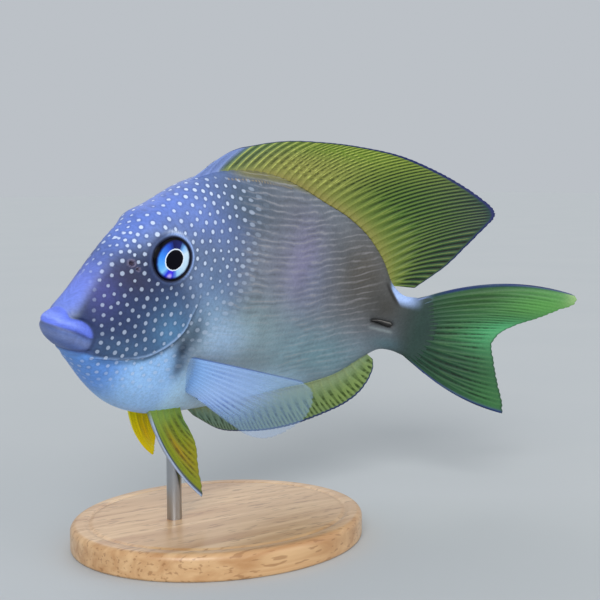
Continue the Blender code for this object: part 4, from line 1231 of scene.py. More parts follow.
    def _ground(self, at: Places) -> Array:
        """Paint the skin's broad colours.

        Args:
            at: the smooth body's points.

        Returns:
            Linear colours: the flank's greys, then the pale belly, the blue nape and crown, partly painted
            highlight, the dark cheek inside its own outline, and the details of the head and the tail
            stem, among them painted highlights and painted shade.
        """
        ground = np.broadcast_to(linear("#77818f"), (*at.x.shape, 3))
        for paint in (self._paint_flank, self._paint_cheek, self._paint_lips, self._paint_eye_rim,
                      self._paint_gill, self._paint_rear):
            ground = paint(ground, at)
        return ground

    def _paint_flank(self, ground: Array, at: Places) -> Array:
        """Paint the flank's patches, the pale belly, the blue nape and crown, partly painted highlight from
        light above, and painted shade behind the nape.
        """
        x, z = at.x, at.z
        ground = coated(
            sprayed(ground, self.flank_patches, x, z),
            ("#aedafd", rise(z, -0.130, -0.205) * rise(x, 0.86, 0.66) * 0.95),
            ("#63769f", rise(x, 0.46, 0.34) * rise(z, -0.10, 0.02) * 0.85),
            # the blue nape and crown: partly the skin's own blue, partly painted highlight from light above
            ("#6d86cf", rise(z, 0.055, 0.135) * rise(x, 0.44, 0.24) * 0.9),
            ("#6482dc", rise(z - 1.1 * x, -0.13, -0.05) * rise(x, 0.34, 0.20) * 0.85))
        # painted shade behind the nape
        return sprayed(ground, (Spray("#4e6072", (0.39, 0.175), (0.10, 0.060), 0.85),), x, z)

    def _paint_cheek(self, ground: Array, at: Places) -> Array:
        """Paint the pale throat, the dark cheek, what lies inside and behind the gill cover, and the
        violet snout over it all."""
        x, z, behind = at.x, at.z, at.behind
        over = z - self.cheek_top(x)
        open_above = rise(z, -0.080, -0.040)
        inside = np.maximum(rise(behind, 0.003, -0.004), open_above)
        outside = np.maximum(rise(behind + (x > 0.30), 0.0, 0.004), open_above)
        cheek = rise(over, 0.026, -0.030) * inside * rise(x, 0.026, 0.046)
        cheek = cheek * rise(x + 1.65 * (z + 0.011), 0.310, 0.205) * rise(x, 0.37, 0.25)
        throat = rise(behind, -0.003, 0.004) * rise(z, -0.10, -0.15) * rise(x, 0.33, 0.27)
        ground = coated(ground, ("#9ac8fc", throat * 0.95), ("#2e3c64", cheek * 0.97))
        ground = sprayed(ground, self.cheek_patches, x, z, inside)
        ground = sprayed(ground, self.shoulder_patches, x, z, outside)
        ground = coated(ground, ("#7389e2", rise(x, 0.100, 0.055) * rise(over, -0.016, 0.014)))
        return sprayed(ground, (Spray("#615fb0", (0.078, -0.050), (0.030, 0.040), 0.45),), x, z)

    def _paint_lips(self, ground: Array, at: Places) -> Array:
        """Paint the violet upper lip with a painted highlight on its top, the slate lower lip, partly painted
        shade under the upper lip, painted shade in the groove behind the lips, in the mouth's crease and in
        the chin's fold, and the nostrils with painted shade in their pits.
        """
        slit_z = self.form.widest(at.x) + self.mouth_rise
        above = at.z - slit_z
        lip = rise(at.lips, 1.08, 0.96)
        ground = coated(
            ground,
            ("#667ce6", lip * rise(above, -0.002, 0.003)),
            # painted highlight on the top of the upper lip
            ("#8ea4fb", lip * bell(at.lips, 0.42, 0.28) * rise(above, 0.004, 0.012) * 0.75),
            # the slate lower lip: its own colour, partly painted shade under the upper lip
            ("#5068a6", lip * rise(above, 0.002, -0.006)),
            ("#8c9ac8", lip * bell(above, -0.012, 0.008) * 0.45),
            # painted shade in the groove behind the lips and in the mouth's crease
            ("#334068", bell(at.lips, 1.08, 0.055) * rise(np.cos(at.angle), 0.5, 0.1) * 0.6),
            ("#3a4684", bell(at.z, slit_z - 0.001, 0.0024) * rise(at.lips, 1.02, 0.9) * 0.45),
            ("#6294de", rise(at.z + 0.158, 0.003, -0.004) * rise(at.x, 0.20, 0.12)),
            # painted shade in the chin's fold
            ("#44588c", self._chin_fold(at, 0.0030) * 0.6))
        for nostril in self.nostrils:
            ring = self._nostril_ring(at, nostril)
            # a pale ring round each nostril, and painted shade in its pit
            ground = coated(ground, ("#8a7f98", bell(ring, 1.25, 0.22) * 0.7),
                            ("#3a2f40", rise(ring, 1.02, 0.75) * 0.9))
        return ground

    def _paint_eye_rim(self, ground: Array, at: Places) -> Array:
        """Paint the dark rim of the eye's opening, painted shade before the eye, and the pale lid outside it,
        its own pale blue brightened above as painted highlight, with a painted highlight over its top.
        """
        bearing = np.arctan2(at.z - self.eye.centre[1], at.x - self.eye.centre[0])
        # the lid's own pale blue, strongest towards the top as painted highlight
        lid = bell(at.eye, 1.15, 0.045) * (0.08 + 0.92 * rise(np.cos(bearing - 0.6), -0.2, 0.7))
        return coated(
            ground,
            # painted shade before the eye, then the lid, then a painted highlight over its top
            ("#27345c", bell(at.eye, 1.18, 0.13) * rise(np.cos(bearing), 0.1, -0.7) * 0.8),
            ("#9fbdf8", lid * 0.9),
            ("#d5e4fc", bell(at.eye, 1.27, 0.055) * bell(bearing, 1.55, 0.42) * 0.85),
            ("#080d2a", rise(at.eye, 1.12, 1.05) * 0.97))

    def _paint_gill(self, ground: Array, at: Places) -> Array:
        """Paint the gill cover's pale edge, the painted shadow behind it and painted shade in the hollow over
        the fin.
        """
        seen = rise(at.z, -0.035, -0.075) * rise(at.x, 0.080, 0.110) * (0.55 + 0.45 * rise(at.x, 0.15, 0.21))
        # painted shadow behind the gill cover's edge, then the edge's pale line
        ground = coated(ground, ("#3d5a78", bell(at.behind, 0.0052, 0.0050) * seen * 0.75),
                        ("#a3c0ea", bell(at.behind, -0.0028, 0.0026) * seen * 0.65))
        # painted shade in the hollow over the pectoral fin
        return sprayed(ground, self.hollow_shade_patches, at.x, at.z, rise(at.behind, 0.0, 0.004))

    def _paint_rear(self, ground: Array, at: Places) -> Array:
        """Paint the gold foot of the dorsal fin, a painted highlight on the tail stem's rounded top with a
        painted shadow in the crease before it, painted shade in its spine slot, and its end.
        """
        x, z = at.x, at.z
        foot = rise(z - self.fin_foot(x), -0.006, 0.008) * rise(x, 0.345, 0.42) * rise(x, 0.905, 0.88)
        crease = x - 0.930 - 0.92 * (0.070 - z)
        # painted highlight where the rounded top of the tail stem catches light from above
        stem_top_highlight = rise(crease, 0.0, 0.008) * rise(x, 1.020, 0.970)
        stem_top_highlight = stem_top_highlight * rise(z, 0.036, 0.058) * rise(x, 0.925, 0.937)
        # painted shadow along the crease before that highlight
        crease_shadow = bell(crease, -0.004, 0.006) * rise(z, 0.030, 0.055) * rise(x, 0.905, 0.925)
        slot = self._slot(x, 0.004, 0.002)
        return coated(
            ground,
            ("#7f7a45", foot * 0.9),
            ("#2f3a36", rise(x, 0.93, 0.99) * 0.85),
            ("#4d6a72", bell(x, 0.95, 0.04) * bell(z, -0.052, 0.018) * 0.7),
            ("#2a3f39", rise(x, 0.975, 1.02) * 0.95),
            # the painted highlight on the stem's top, then the painted shadow in the crease
            ("#a6c0f2", stem_top_highlight * 0.95),
            ("#1a1614", crease_shadow * 0.85),
            # painted shade in the spine's slot, with a pale line under it
            ("#161512", slot * bell(z, self.spine_z, 0.0075) * 0.95),
            ("#8f9a9c", slot * bell(z, self.spine_z - 0.0155, 0.0035) * 0.5))

    def _spots(self, smooth: Array, at: Places, low: Array) -> Array:
        """Lay the spots.

        Args:
            smooth: the smooth body's points.
            at: the same points, as they are read.
            low: x at each height where spots have given way to lines.

        Returns:
            The distance from the nearest spot in radii, and its strength and warmth. Spots keep off
            the lips, the eye, the nostrils and the dorsal fin's foot, where small warm dots lie.
        """
        x, z = at.x, at.z
        carry = rise(x, 0.055, 0.080) * rise(x - low, 0.06, -0.10) * rise(z, -0.235, -0.18)
        carry = carry * (1.0 - 0.20 * rise(at.behind, -0.004, 0.006) * rise(z, -0.10, -0.14))
        carry = carry * (0.58 + 0.42 * rise(z, -0.02, 0.06))
        for nose_x, nose_z, size in self.nostrils:
            carry = carry * rise(np.hypot(x - nose_x, z - nose_z) / size, 1.3, 2.0)
        crowd = 1.0 + 0.38 * rise(x, 0.27, 0.17) * rise(z, 0.12, 0.05)
        crowd = crowd + 0.65 * rise(x, 0.20, 0.12) * rise(z, 0.0, 0.04) - 0.12 * rise(x, 0.30, 0.40)
        # fewer spots in the painted shade over the pectoral fin's root
        carry = carry * (1.0 - 0.8 * bell(x, 0.290, 0.022) * bell(z, -0.120, 0.035))
        carry = carry * rise(at.eye, 1.16, 1.26) * rise(at.lips, 1.1, 1.3)
        carry = carry * rise(z - self.fin_foot(x), 0.004, -0.010)
        across = np.linspace(0.350, 0.560, 22)
        high = self.fin_foot(across) - 0.003
        wide = self.form.flank_width(across, high)
        row = np.concatenate([np.stack([across, high, wide * side.value], axis=-1) for side in Side])
        return Spots(self.form.length).paint(smooth, carry, crowd, rise(x - low, -0.10, 0.0), row)

    def _marks(self, smooth: Array, at: Places) -> tuple[Array, Array]:
        """Say where the pattern shows.

        Args:
            smooth: the smooth body's points.
            at: the same points, as they are read.

        Returns:
            The distance from the nearest spot in radii, and the marks: the strengths of the spots
            and of the lines, and how warm a spot is.
        """
        x, z = at.x, at.z
        low = 0.42 + 0.75 * np.clip(z, -0.2, 0.0)
        spots = self._spots(smooth, at, low)
        lines = rise(x - low, -0.08, 0.03) * rise(x, 0.93, 0.84) * rise(z, -0.20, -0.12)
        lines = lines * (1.0 - 0.68 * rise(z, -0.01, -0.07) * rise(x, 0.72, 0.60))
        lines = lines * (1.0 - 0.5 * bell(x, 0.60, 0.06) * bell(z, 0.03, 0.08))
        lines = lines * (1.0 - 0.45 * rise(x, 0.64, 0.80))
        return spots[..., :1], np.stack([spots[..., 1], lines, spots[..., 2]], axis=-1)

    def build(self) -> Piece:
        """Build the skin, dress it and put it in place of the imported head, torso and tail stem."""
        angle = self._angles()
        x = self._stations(angle)
        angle = np.broadcast_to(angle, x.shape)
        smooth = self._smooth(x, angle)
        at = self._read(smooth[..., 0], smooth[..., 1], angle)
        points = self._push(smooth, self._head_relief(at) - self._openings(at))
        spot, marks = self._marks(smooth, at)
        fields = {"ground": with_alpha(self._ground(at)), "pattern": self._pattern(smooth),
                  "spot": spot, "marks": marks}
        made = Shell(self.form.place(points), fields, Ends.POLE).build("body_skin", ScaledSkin().dress())
        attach(made, "root")
        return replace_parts(made, "head", "torso", "tail_stem")


@dataclass
class Eyeball:
    """One eye: a flattened ball with a low cornea, sunk in its seat."""

    form: FishForm
    seat: EyeSeat
    side: Side
    iris: float = 0.0368
    flatness: float = 2.8
    rings: int = 72
    around: int = 96

    def build(self, finish: Material) -> Piece:
        """Build the eyeball.

        Args:
            finish: the eye's material.

        Returns:
            The piece. Behind, it is an ellipsoid: the depth times the cosine along the way out, and
            the radius times the sine round it. In front it is flatter: one less the sine to the
            power of its flatness, the root of that power taken, times a smaller depth.
        """
        side = self.side.value
        x, z = self.seat.centre
        forward, upward = math.sin(self.seat.forward), math.sin(self.seat.upward)
        outward = np.array([-forward, upward, side * math.sqrt(1.0 - forward ** 2 - upward ** 2)])
        width = float(self.form.flank_width(np.float64(x), np.float64(z)))
        middle = np.array([x, z, side * width]) - outward * self.seat.sunk
        back = np.array([1.0, 0.0, 0.0]) - outward * outward[0]
        back /= np.linalg.norm(back)
        up = np.array([0.0, 1.0, 0.0]) - outward * outward[1] - back * back[1]
        up /= np.linalg.norm(up)
        polar = np.linspace(0.0, math.pi, self.rings + 2)[1:-1, None, None]
        around = turns(self.around)[None, :, None]
        reach = self.seat.radius * np.sin(polar)
        front = (1.0 - np.sin(polar) ** self.flatness) ** (1.0 / self.flatness) * self.seat.depth * 0.92
        lift = np.where(polar < math.pi / 2, front, self.seat.depth * np.cos(polar))
        points = middle + outward * lift + reach * (back * np.cos(around) + up * np.sin(around))
        over, rise_up = reach * np.cos(around), reach * np.sin(around)
        flat = np.concatenate([over - self.seat.lean * rise_up, rise_up, 0.0 * over], axis=-1)
        fields = {"iris": flat / self.iris}
        name = "eye_" + self.side.label
        made = Shell(self.form.place(points), fields, Ends.POLE).build(name + "_globe", finish)
        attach(made, "root")
        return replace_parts(made, name)


@dataclass
class TailSpine:
    """The folding spine of one side of the tail stem, lying in its groove with its point forwards."""

    form: FishForm
    side: Side
    ends: Point = (0.898, 0.951)
    z: float = -0.006
    half_height: float = 0.0062
    half_thickness: float = 0.0034
    rings: int = 44
    around: int = 28

    def build(self, finish: Material) -> Piece:
        """Build the spine.

        Args:
            finish: the bone's material.

        Returns:
            The piece: an ellipse carried back along the flank, whose size grows as the root of the
            distance from the point and rounds off at the hinge, sharpened along its upper edge.
        """
        share = np.linspace(0.01, 0.995, self.rings)[:, None]
        angle = turns(self.around)[None, :]
        size = (share ** 0.65) * np.sqrt(1.0 - np.clip((share - 0.8) / 0.2, 0.0, 1.0) ** 2)
        x = self.ends[0] + (self.ends[1] - self.ends[0]) * share + 0.0 * angle
        z = self.z + self.half_height * size * np.cos(angle) + 0.0022 * bell(share, 0.35, 0.3)
        body = self.form.flank_width(x, np.full_like(x, self.z))
        pinch = 1.0 - 0.75 * np.clip(np.cos(angle), 0.0, 1.0) ** 2
        w = self.side.value * (body - 0.0012 + self.half_thickness * size * np.sin(angle) * pinch)
        # 1 along the upper edge, where the bone carries a painted highlight
        edge = (0.5 + 0.5 * np.cos(angle) + 0.0 * share)[..., None]
        name = "tail_spine_" + self.side.label
        points = self.form.place(np.stack([x, z, w], axis=-1))
        made = Shell(points, {"edge": edge}, Ends.POLE).build(name + "_blade", finish)
        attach(made, "root")
        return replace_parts(made, name)


@dataclass
class RayFin:
    """A fin: one closed sheet whose rays rise in its surface and part in two towards the margin.

    web, ray, margin and foot are the sheet's thicknesses; foot_reach, fork_from and fork_to are
    shares of the way out, and bare and spines shares of the way along the fin, before which no ray
    rises and no ray forks. The patches lie on the base colour, along the fin and out from its root.
    """

    form: FishForm
    rays: int
    rows: int
    columns_per_ray: int = 8
    web: float = 0.36 * MM
    ray: float = 0.92 * MM
    margin: float = 0.12 * MM
    foot: float = 2.0 * MM
    foot_reach: float = 0.10
    ray_width: float = 0.15
    fork_from: float = 0.36
    scallop: float = 0.016
    sway: float = 0.004
    sway_waves: float = 2.0
    bare: float = 0.0
    crowd: float = 1.0
    spines: float = -0.1
    fork_to: float = 0.80
    base: str = ""
    patches: tuple[Spray, ...] = ()

    def lines(self, count: int) -> tuple[Array, Array, Array]:
        """Give the roots, the tips and the bows of that many lines across the fin."""
        raise NotImplementedError

    def ground(self, c: Array, t: Array) -> Array:
        """Paint the base colour and its patches, c of the way along the fin and t out from its root."""
        return sprayed(np.broadcast_to(linear(self.base), (*c.shape, 3)), self.patches, c, t)

    def paint(self, ground: Array, c: Array, t: Array) -> tuple[Array, Array]:
        """Finish the ground with its margins and streaks, and give it with the marks."""
        raise NotImplementedError

    def thin(self, c: Array, t: Array) -> Array | None:
        """Give how solid the film is, for a clear fin, or None for a fin that hides what is behind."""
        return None

    def _places(self) -> tuple[Array, Array]:
        """Give each point's ray number and its share of the way from the root to the margin."""
        columns = (self.rays - 1) * self.columns_per_ray + 1
        number = np.linspace(0.0, self.rays - 1.0, columns)[:, None]
        share = np.linspace(0.0, 1.0, self.rows + 1)[None, :] ** 0.92
        return np.broadcast_arrays(number, share)

    def _along(self, number: Array) -> Array:
        """Give the share of the way along the fin of a ray's number: rays crowd towards the rear."""
        return 1.0 - np.maximum(1.0 - number / (self.rays - 1.0), 0.0) ** self.crowd

    def _beside(self, number: Array, share: Array) -> tuple[Array, Array]:
        """Measure the distance from the nearest ray.

        Args:
            number: each point's ray number, with its fraction.
            share: each point's way out from the root.

        Returns:
            The distance in ray spacings, and as a share of the half web. Past the fork each ray is
            two branches, which part smoothly until all branches are evenly spaced.
        """
        c = self._along(number)
        fork = 0.25 * rise(share, self.fork_from, self.fork_to) * rise(c, self.spines, self.spines + 0.1)
        apart = np.abs(np.abs(number - np.round(number)) - fork)
        return apart, apart / (0.5 - fork)

    def _sheet(self, number: Array, share: Array, beside: Array) -> tuple:
        """Lay the middle of the sheet.

        Args:
            number: each point's ray number.
            share: each point's way out from the root.
            beside: its distance from the nearest ray, as a share of the half web.

        Returns:
            The middle points, the normals there, and the lines' lengths in millimetres. The points
            are a blend from root to tip with a bow, which ends earlier between rays, and a slow
            wave moves them along the normals.
        """
        root, tip, bow = self.lines(len(number))
        notch = np.abs(np.sin(math.pi * number[:, :1, None]))
        out = share[..., None] * (1.0 - (self.scallop * beside[:, -1:, None] + 0.5 * self.scallop * notch))
        centre = root[:, None] + (tip - root)[:, None] * out + bow[:, None] * 4.0 * out * (1.0 - out)
        normal = np.cross(np.gradient(centre, axis=1), np.gradient(centre, axis=0))
        normal /= np.linalg.norm(normal, axis=-1, keepdims=True) + TINY
        normal *= np.sign(np.sum(normal[..., 2]))
        c = self._along(number)
        wave = self.sway * rise(c, 0.0, 0.10) * share ** 1.5
        wave = wave * np.sin(2.0 * math.pi * self.sway_waves * c + 2.0 * share)
        length = np.linalg.norm(tip - root, axis=-1)[:, None] * self.form.length / MM
        return centre + normal * wave[..., None], normal, length

    def _thickness(self, c: Array, share: Array, apart: Array) -> Array:
        """Give the sheet's thickness.

        Args:
            c: each point's share of the way along the fin.
            share: its way out from the root.
            apart: its distance from the nearest ray, in ray spacings.

        Returns:
            The web's and the nearest ray's, each thinning outwards, and the foot's, which dies
            away; the margin is rounded off.
        """
        ridge = bell(apart, 0.0, self.ray_width * (1.0 - 0.45 * share)) * rise(c, -0.01, self.bare)
        thick = self.web + (self.margin - self.web) * share ** 1.5
        thick = thick + (self.ray - self.web) * (1.0 - share) ** 0.8 * ridge
        swell = 0.15 + 0.85 * np.sqrt(np.abs(np.sin(math.pi * c)))
        thick = thick + (self.foot - self.web) * swell * np.exp(-share / self.foot_reach * 1.5)
        return thick * np.sqrt(np.clip((1.004 - share) / 0.02, 0.02, 1.0))

    def surface(self) -> tuple[Array, dict[str, Array]]:
        """Work out the fin.

        Returns:
            Rings of points that run out over the outer face and back over the inner one, half the
            thickness to either side of the sheet, in fish coordinates, and the material's fields.
        """
        number, share = self._places()
        apart, beside = self._beside(number, share)
        c = self._along(number)
        centre, normal, length = self._sheet(number, share, beside)
        half = (self._thickness(c, share, apart) / 2.0 / self.form.length)[..., None] * normal
        points = np.concatenate([centre + half, (centre - half)[:, ::-1]], axis=1)
        ground, marks = self.paint(self.ground(c, share), c, share)
        grain = np.stack([number * 2.0, share * length, 0.0 * share], axis=-1)
        fields = {"ground": with_alpha(ground), "web": beside[..., None], "grain": grain, "marks": marks}
        film = self.thin(c, share)
        if film is not None:
            fields["film"] = film[..., None]
        both = {name: np.concatenate([values, values[:, ::-1]], axis=1) for name, values in fields.items()}
        return points, both

    def make(self, name: str, node: str, slot: str, finish: Material) -> Piece:
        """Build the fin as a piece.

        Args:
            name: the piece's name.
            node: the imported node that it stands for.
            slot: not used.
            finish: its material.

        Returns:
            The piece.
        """
        points, fields = self.surface()
        made = Shell(self.form.place(points), fields, Ends.ZIP).build(name, finish)
        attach(made, "root")
        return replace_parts(made, node)


def fin_marks(dark: Array, pale: float | Array, broken: float) -> Array:
    """Pack a fin's strengths of dark streaks, pale rays and breaks into one vector."""
    return np.stack(np.broadcast_arrays(dark, pale, broken), axis=-1)


@dataclass
class RidgeFin(RayFin):
    """A fin along the ridge of the back or of the belly, from key rays (root x, tip x, tip z)."""

    keys: tuple[tuple[float, float, float], ...] = ()
    upper: bool = True
    sunk: float = 0.004

    def lines(self, count: int) -> tuple[Array, Array, Array]:
        """Stand the roots in the ridge and bow the rays a twentieth of their length."""
        keys = np.array(self.keys)
        ridge = self.form.back if self.upper else self.form.belly
        rays = spread(np.column_stack([keys[:, 0], ridge(keys[:, 0]), keys[:, 1:]]), count, self.crowd)
        none = np.zeros(count)
        away = 1.0 if self.upper else -1.0
        root = np.column_stack([rays[:, 0], ridge(rays[:, 0]) - away * self.sunk, none])
        tip = np.column_stack([rays[:, 2], rays[:, 3], none])
        lean = tip - root
        bow = np.column_stack([-lean[:, 1], lean[:, 0], none]) * 0.05 * away
        ends = np.clip(np.minimum(np.arange(count), np.arange(count)[::-1]) / self.columns_per_ray, 0.0, 1.0)
        return root, tip, bow * ends[:, None]


@dataclass
class DorsalFin(RidgeFin):
    """The tall fin along the back: olive in front, gold in the middle and green behind."""

    rays: int = 36
    rows: int = 84
    bare: float = 0.14
    crowd: float = 1.3
    spines: float = 0.30
    fork_from: float = 0.10
    fork_to: float = 0.45
    scallop: float = 0.007
    keys: tuple = (
        (0.262, 0.270, 0.185), (0.308, 0.355, 0.254), (0.365, 0.440, 0.288), (0.425, 0.530, 0.315),
        (0.505, 0.640, 0.338), (0.590, 0.760, 0.357), (0.665, 0.870, 0.366), (0.735, 0.955, 0.358),
        (0.790, 1.020, 0.344), (0.832, 1.075, 0.326), (0.863, 1.115, 0.306), (0.884, 1.121, 0.287),
        (0.900, 1.105, 0.258), (0.912, 1.075, 0.207), (0.924, 1.038, 0.148), (0.935, 0.986, 0.088))
    base: str = "#78853a"
    patches: tuple[Spray, ...] = (
        Spray("#5f8060", (0.14, 0.5), (0.16, 0.9), 0.95), Spray("#93934a", (0.42, 0.20), (0.24, 0.45), 0.95),
        Spray("#74902c", (0.46, 0.85), (0.24, 0.28), 0.9), Spray("#40661f", (0.80, 0.50), (0.18, 0.42), 0.95),
        Spray("#204c1e", (0.98, 0.70), (0.20, 0.45), 0.95), Spray("#083634", (0.86, 1.00), (0.13, 0.30), 1.0),
        Spray("#8c8246", (0.55, 0.0), (0.50, 0.09), 0.85))

    def paint(self, ground: Array, c: Array, t: Array) -> tuple[Array, Array]:
        """Paint the bare blue front, the thin navy margin, and streaks that are closest behind."""
        width = 0.034 - 0.012 * rise(c, 0.6, 1.0)
        margin = rise(t, 1.0 - width - 0.012, 1.0 - width + 0.004) * rise(c, 0.03, 0.12)
        ground = coated(ground, ("#8095d2", rise(c - 0.018 * t, 0.135, 0.095) * 0.92), ("#131f58", margin))
        front, rear = rise(c, 0.10, 0.15), rise(c, 0.52, 0.68)
        dark = (0.62 + 0.38 * rear) * rise(t, 0.02, 0.25 + 0.2 * rear) * rise(t, 0.985, 0.93) * front
        pale = (0.85 - 0.65 * rear) * rise(t, 0.02, 0.2) * rise(t, 0.97, 0.90) * front
        broken = 0.9 * bell(c, 0.44, 0.17) * rise(t, 1.0, 0.7) + 0.10
        return ground, fin_marks(dark, pale, broken)


@dataclass
class AnalFin(RidgeFin):
    """The low fin under the rear of the belly: yellow-green, with dark streaks."""

    rays: int = 26
    rows: int = 52
    upper: bool = False
    keys: tuple = (
        (0.430, 0.462, -0.270), (0.490, 0.550, -0.296), (0.575, 0.642, -0.302), (0.660, 0.730, -0.291),
        (0.738, 0.808, -0.266), (0.795, 0.862, -0.236), (0.839, 0.902, -0.204), (0.869, 0.927, -0.170),
        (0.890, 0.939, -0.135), (0.904, 0.941, -0.110), (0.917, 0.935, -0.092))
    base: str = "#667e5d"
    patches: tuple[Spray, ...] = (
        Spray("#668a7c", (0.10, 0.5), (0.25, 0.9), 0.85), Spray("#748c46", (0.85, 0.75), (0.25, 0.45), 0.85),
        Spray("#90a078", (0.50, 0.0), (0.7, 0.30), 0.8))

    def paint(self, ground: Array, c: Array, t: Array) -> tuple[Array, Array]:
        """Paint the thin navy margin, and even streaks out from the middle of the fin."""
        ground = tint(ground, "#1c2c5c", rise(t, 0.93, 0.965))
        dark = 0.95 * rise(t, 0.25, 0.6) * rise(t, 0.98, 0.9)
        return ground, fin_marks(dark, 0.12, 0.45)


@dataclass
class TailFin(RayFin):
    """The forked tail fin: slate-green at its root and brighter green towards the tips."""

    rays: int = 17
    rows: int = 100
    columns_per_ray: int = 9
    root_x: float = 0.990
    root_z: Point = (0.058, -0.057)
    root_crowd: float = 0.75
    bows: Point = (0.032, -0.022)
    fork_from: float = 0.25
    scallop: float = 0.010
    sway_waves: float = 1.3
    tips: tuple = ((1.337, 0.166), (1.350, 0.161), (1.350, 0.150), (1.319, 0.124), (1.281, 0.095),
                   (1.232, 0.063), (1.203, 0.036), (1.193, 0.012), (1.206, -0.024), (1.232, -0.078),
                   (1.252, -0.115), (1.259, -0.138))
    base: str = "#37683f"
    patches: tuple[Spray, ...] = (
        Spray("#1f3632", (0.75, 0.10), (0.50, 0.34), 0.95), Spray("#273c36", (0.25, 0.0), (0.6, 0.26), 0.95),
        Spray("#2a5224", (0.12, 0.42), (0.12, 0.24), 0.8), Spray("#5c9c4e", (0.14, 0.88), (0.16, 0.25), 0.95),
        Spray("#9cbc7c", (0.02, 1.0), (0.08, 0.06), 0.8), Spray("#44a067", (0.50, 0.90), (0.14, 0.26), 0.9),
        Spray("#183e2b", (0.80, 0.50), (0.20, 0.38), 0.9), Spray("#3b7040", (0.93, 0.88), (0.10, 0.16), 0.8))

    def lines(self, count: int) -> tuple[Array, Array, Array]:
        """Fan the rays out from the end of the tail stem to the forked margin."""
        none = np.zeros(count)
        share = np.linspace(0.0, 1.0, count)
        high, low = self.root_z
        root = np.column_stack([none + self.root_x, high + (low - high) * share ** self.root_crowd, none])
        tip = np.column_stack([spread(self.tips, count), none])
        over, under = self.bows
        bow = np.where(share < 0.5, over * (1.0 - 2.0 * share), under * (2.0 * share - 1.0))
        return root, tip, np.column_stack([none, bow, none])

    def paint(self, ground: Array, c: Array, t: Array) -> tuple[Array, Array]:
        """Paint the blue-violet edges, a painted highlight at the upper root beside the tail stem's top, and
        the dark hem.

        Args:
            ground: the painted ground.
            c: each point's share of the way along the fin.
            t: its share of the way out.

        Returns:
            The ground and the marks. The streaks' strength and start vary as sines of c, so that no
            two next to each other are alike, and the upper lobe's are weaker.
        """
        ground = coated(
            ground,
            ("#26336c", (rise(c, 0.030, 0.010) + rise(c, 0.975, 0.992)) * rise(t, 0.05, 0.25) * 0.95),
            # painted highlight at the upper root, carried on from the tail stem's top
            ("#8b9cd4", rise(c, 0.10, 0.03) * rise(t, 0.14, 0.04) * 0.7),
            ("#22382e", rise(t, 0.975, 0.995) * rise(c, 0.2, 0.5) * 0.6))
        uneven = (0.15 + 0.85 * np.abs(np.sin(41.0 * c + 1.3))) * (0.50 + 0.50 * rise(c, 0.20, 0.42))
        start = 0.12 + 0.12 * np.sin(67.0 * c)
        dark = uneven * rise(t, start, start + 0.20) * rise(t, 1.0, 0.80)
        return ground, fin_marks(dark, 0.12 * rise(t, 0.2, 0.5), 0.35)


@dataclass
class PairedFin(RayFin):
    """A fin of one side, whose keys are (x, z, w) of the left side."""

    side: Side = Side.LEFT

    @property
    def mirror(self) -> Array:
        """What turns the left side's coordinates into those of the fin's own side."""
        return np.array([1.0, 1.0, self.side.value])


@dataclass
class PectoralFin(PairedFin):
    """The fan behind the gill cover: a clear blue-violet film on fine rays, dark along its top."""

    rays: int = 15
    rows: int = 84
    foot: float = 1.5 * MM
    ray: float = 0.36 * MM
    web: float = 0.26 * MM
    foot_reach: float = 0.16
    scallop: float = 0.012
    sway: float = 0.006
    sway_waves: float = 0.8
    root_keys: tuple = ((0.312, -0.136), (0.330, -0.172), (0.350, -0.206))
    tip_keys: tuple = ((0.541, -0.141, 0.180), (0.567, -0.155, 0.192), (0.578, -0.185, 0.196),
                       (0.569, -0.217, 0.193), (0.544, -0.244, 0.181), (0.500, -0.266, 0.163),
                       (0.449, -0.261, 0.138), (0.405, -0.232, 0.118))
    bow: tuple[float, float, float] = (0.0, 0.0, -0.006)
    base: str = "#92b4e6"
    patches: tuple[Spray, ...] = (
        Spray("#a2c2f2", (0.50, 0.35), (0.40, 0.26), 0.9), Spray("#82b6f4", (0.5, 0.02), (0.8, 0.20), 0.85),
        Spray("#86a6cc", (0.5, 0.95), (0.7, 0.25), 0.8))

    def lines(self, count: int) -> tuple[Array, Array, Array]:
        """Set the roots on the flank, a little sunk into it."""
        base = spread(self.root_keys, count)
        wide = self.form.flank_width(base[:, 0], base[:, 1]) - 0.006
        root = np.column_stack([base[:, 0] - 0.004, base[:, 1], wide])
        bow = np.broadcast_to(np.array(self.bow), root.shape)
        return root * self.mirror, spread(self.tip_keys, count) * self.mirror, bow * self.mirror

    def paint(self, ground: Array, c: Array, t: Array) -> tuple[Array, Array]:
        """Paint the dark upper edge, and short streaks in the middle and above the root."""
        ground = tint(ground, "#3d558f", rise(c, 0.030, 0.010) * 0.8)
        streaks = 0.75 * bell(t, 0.52, 0.16) * bell(c, 0.62, 0.20)
        streaks = streaks + 0.4 * bell(t, 0.28, 0.12) * bell(c, 0.22, 0.14)
        return ground, fin_marks(streaks, 0.10 * rise(t, 0.1, 0.3) * rise(t, 1.0, 0.6), 0.5)

    def thin(self, c: Array, t: Array) -> Array:
        """Fade the film from its solid foot to a nearly clear hem; rays and the top edge stay."""
        _, beside = self._beside(c * (self.rays - 1.0), t)
        film = 0.86 - 0.68 * rise(t, 0.18, 0.80)
        film = film + 0.10 * rise(beside, 0.5, 0.1) * rise(t, 1.0, 0.5) + 0.25 * rise(c, 0.05, 0.015)
        return np.clip(film * (0.3 + 0.7 * rise(t, 0.01, 0.14)), 0.0, 0.98)


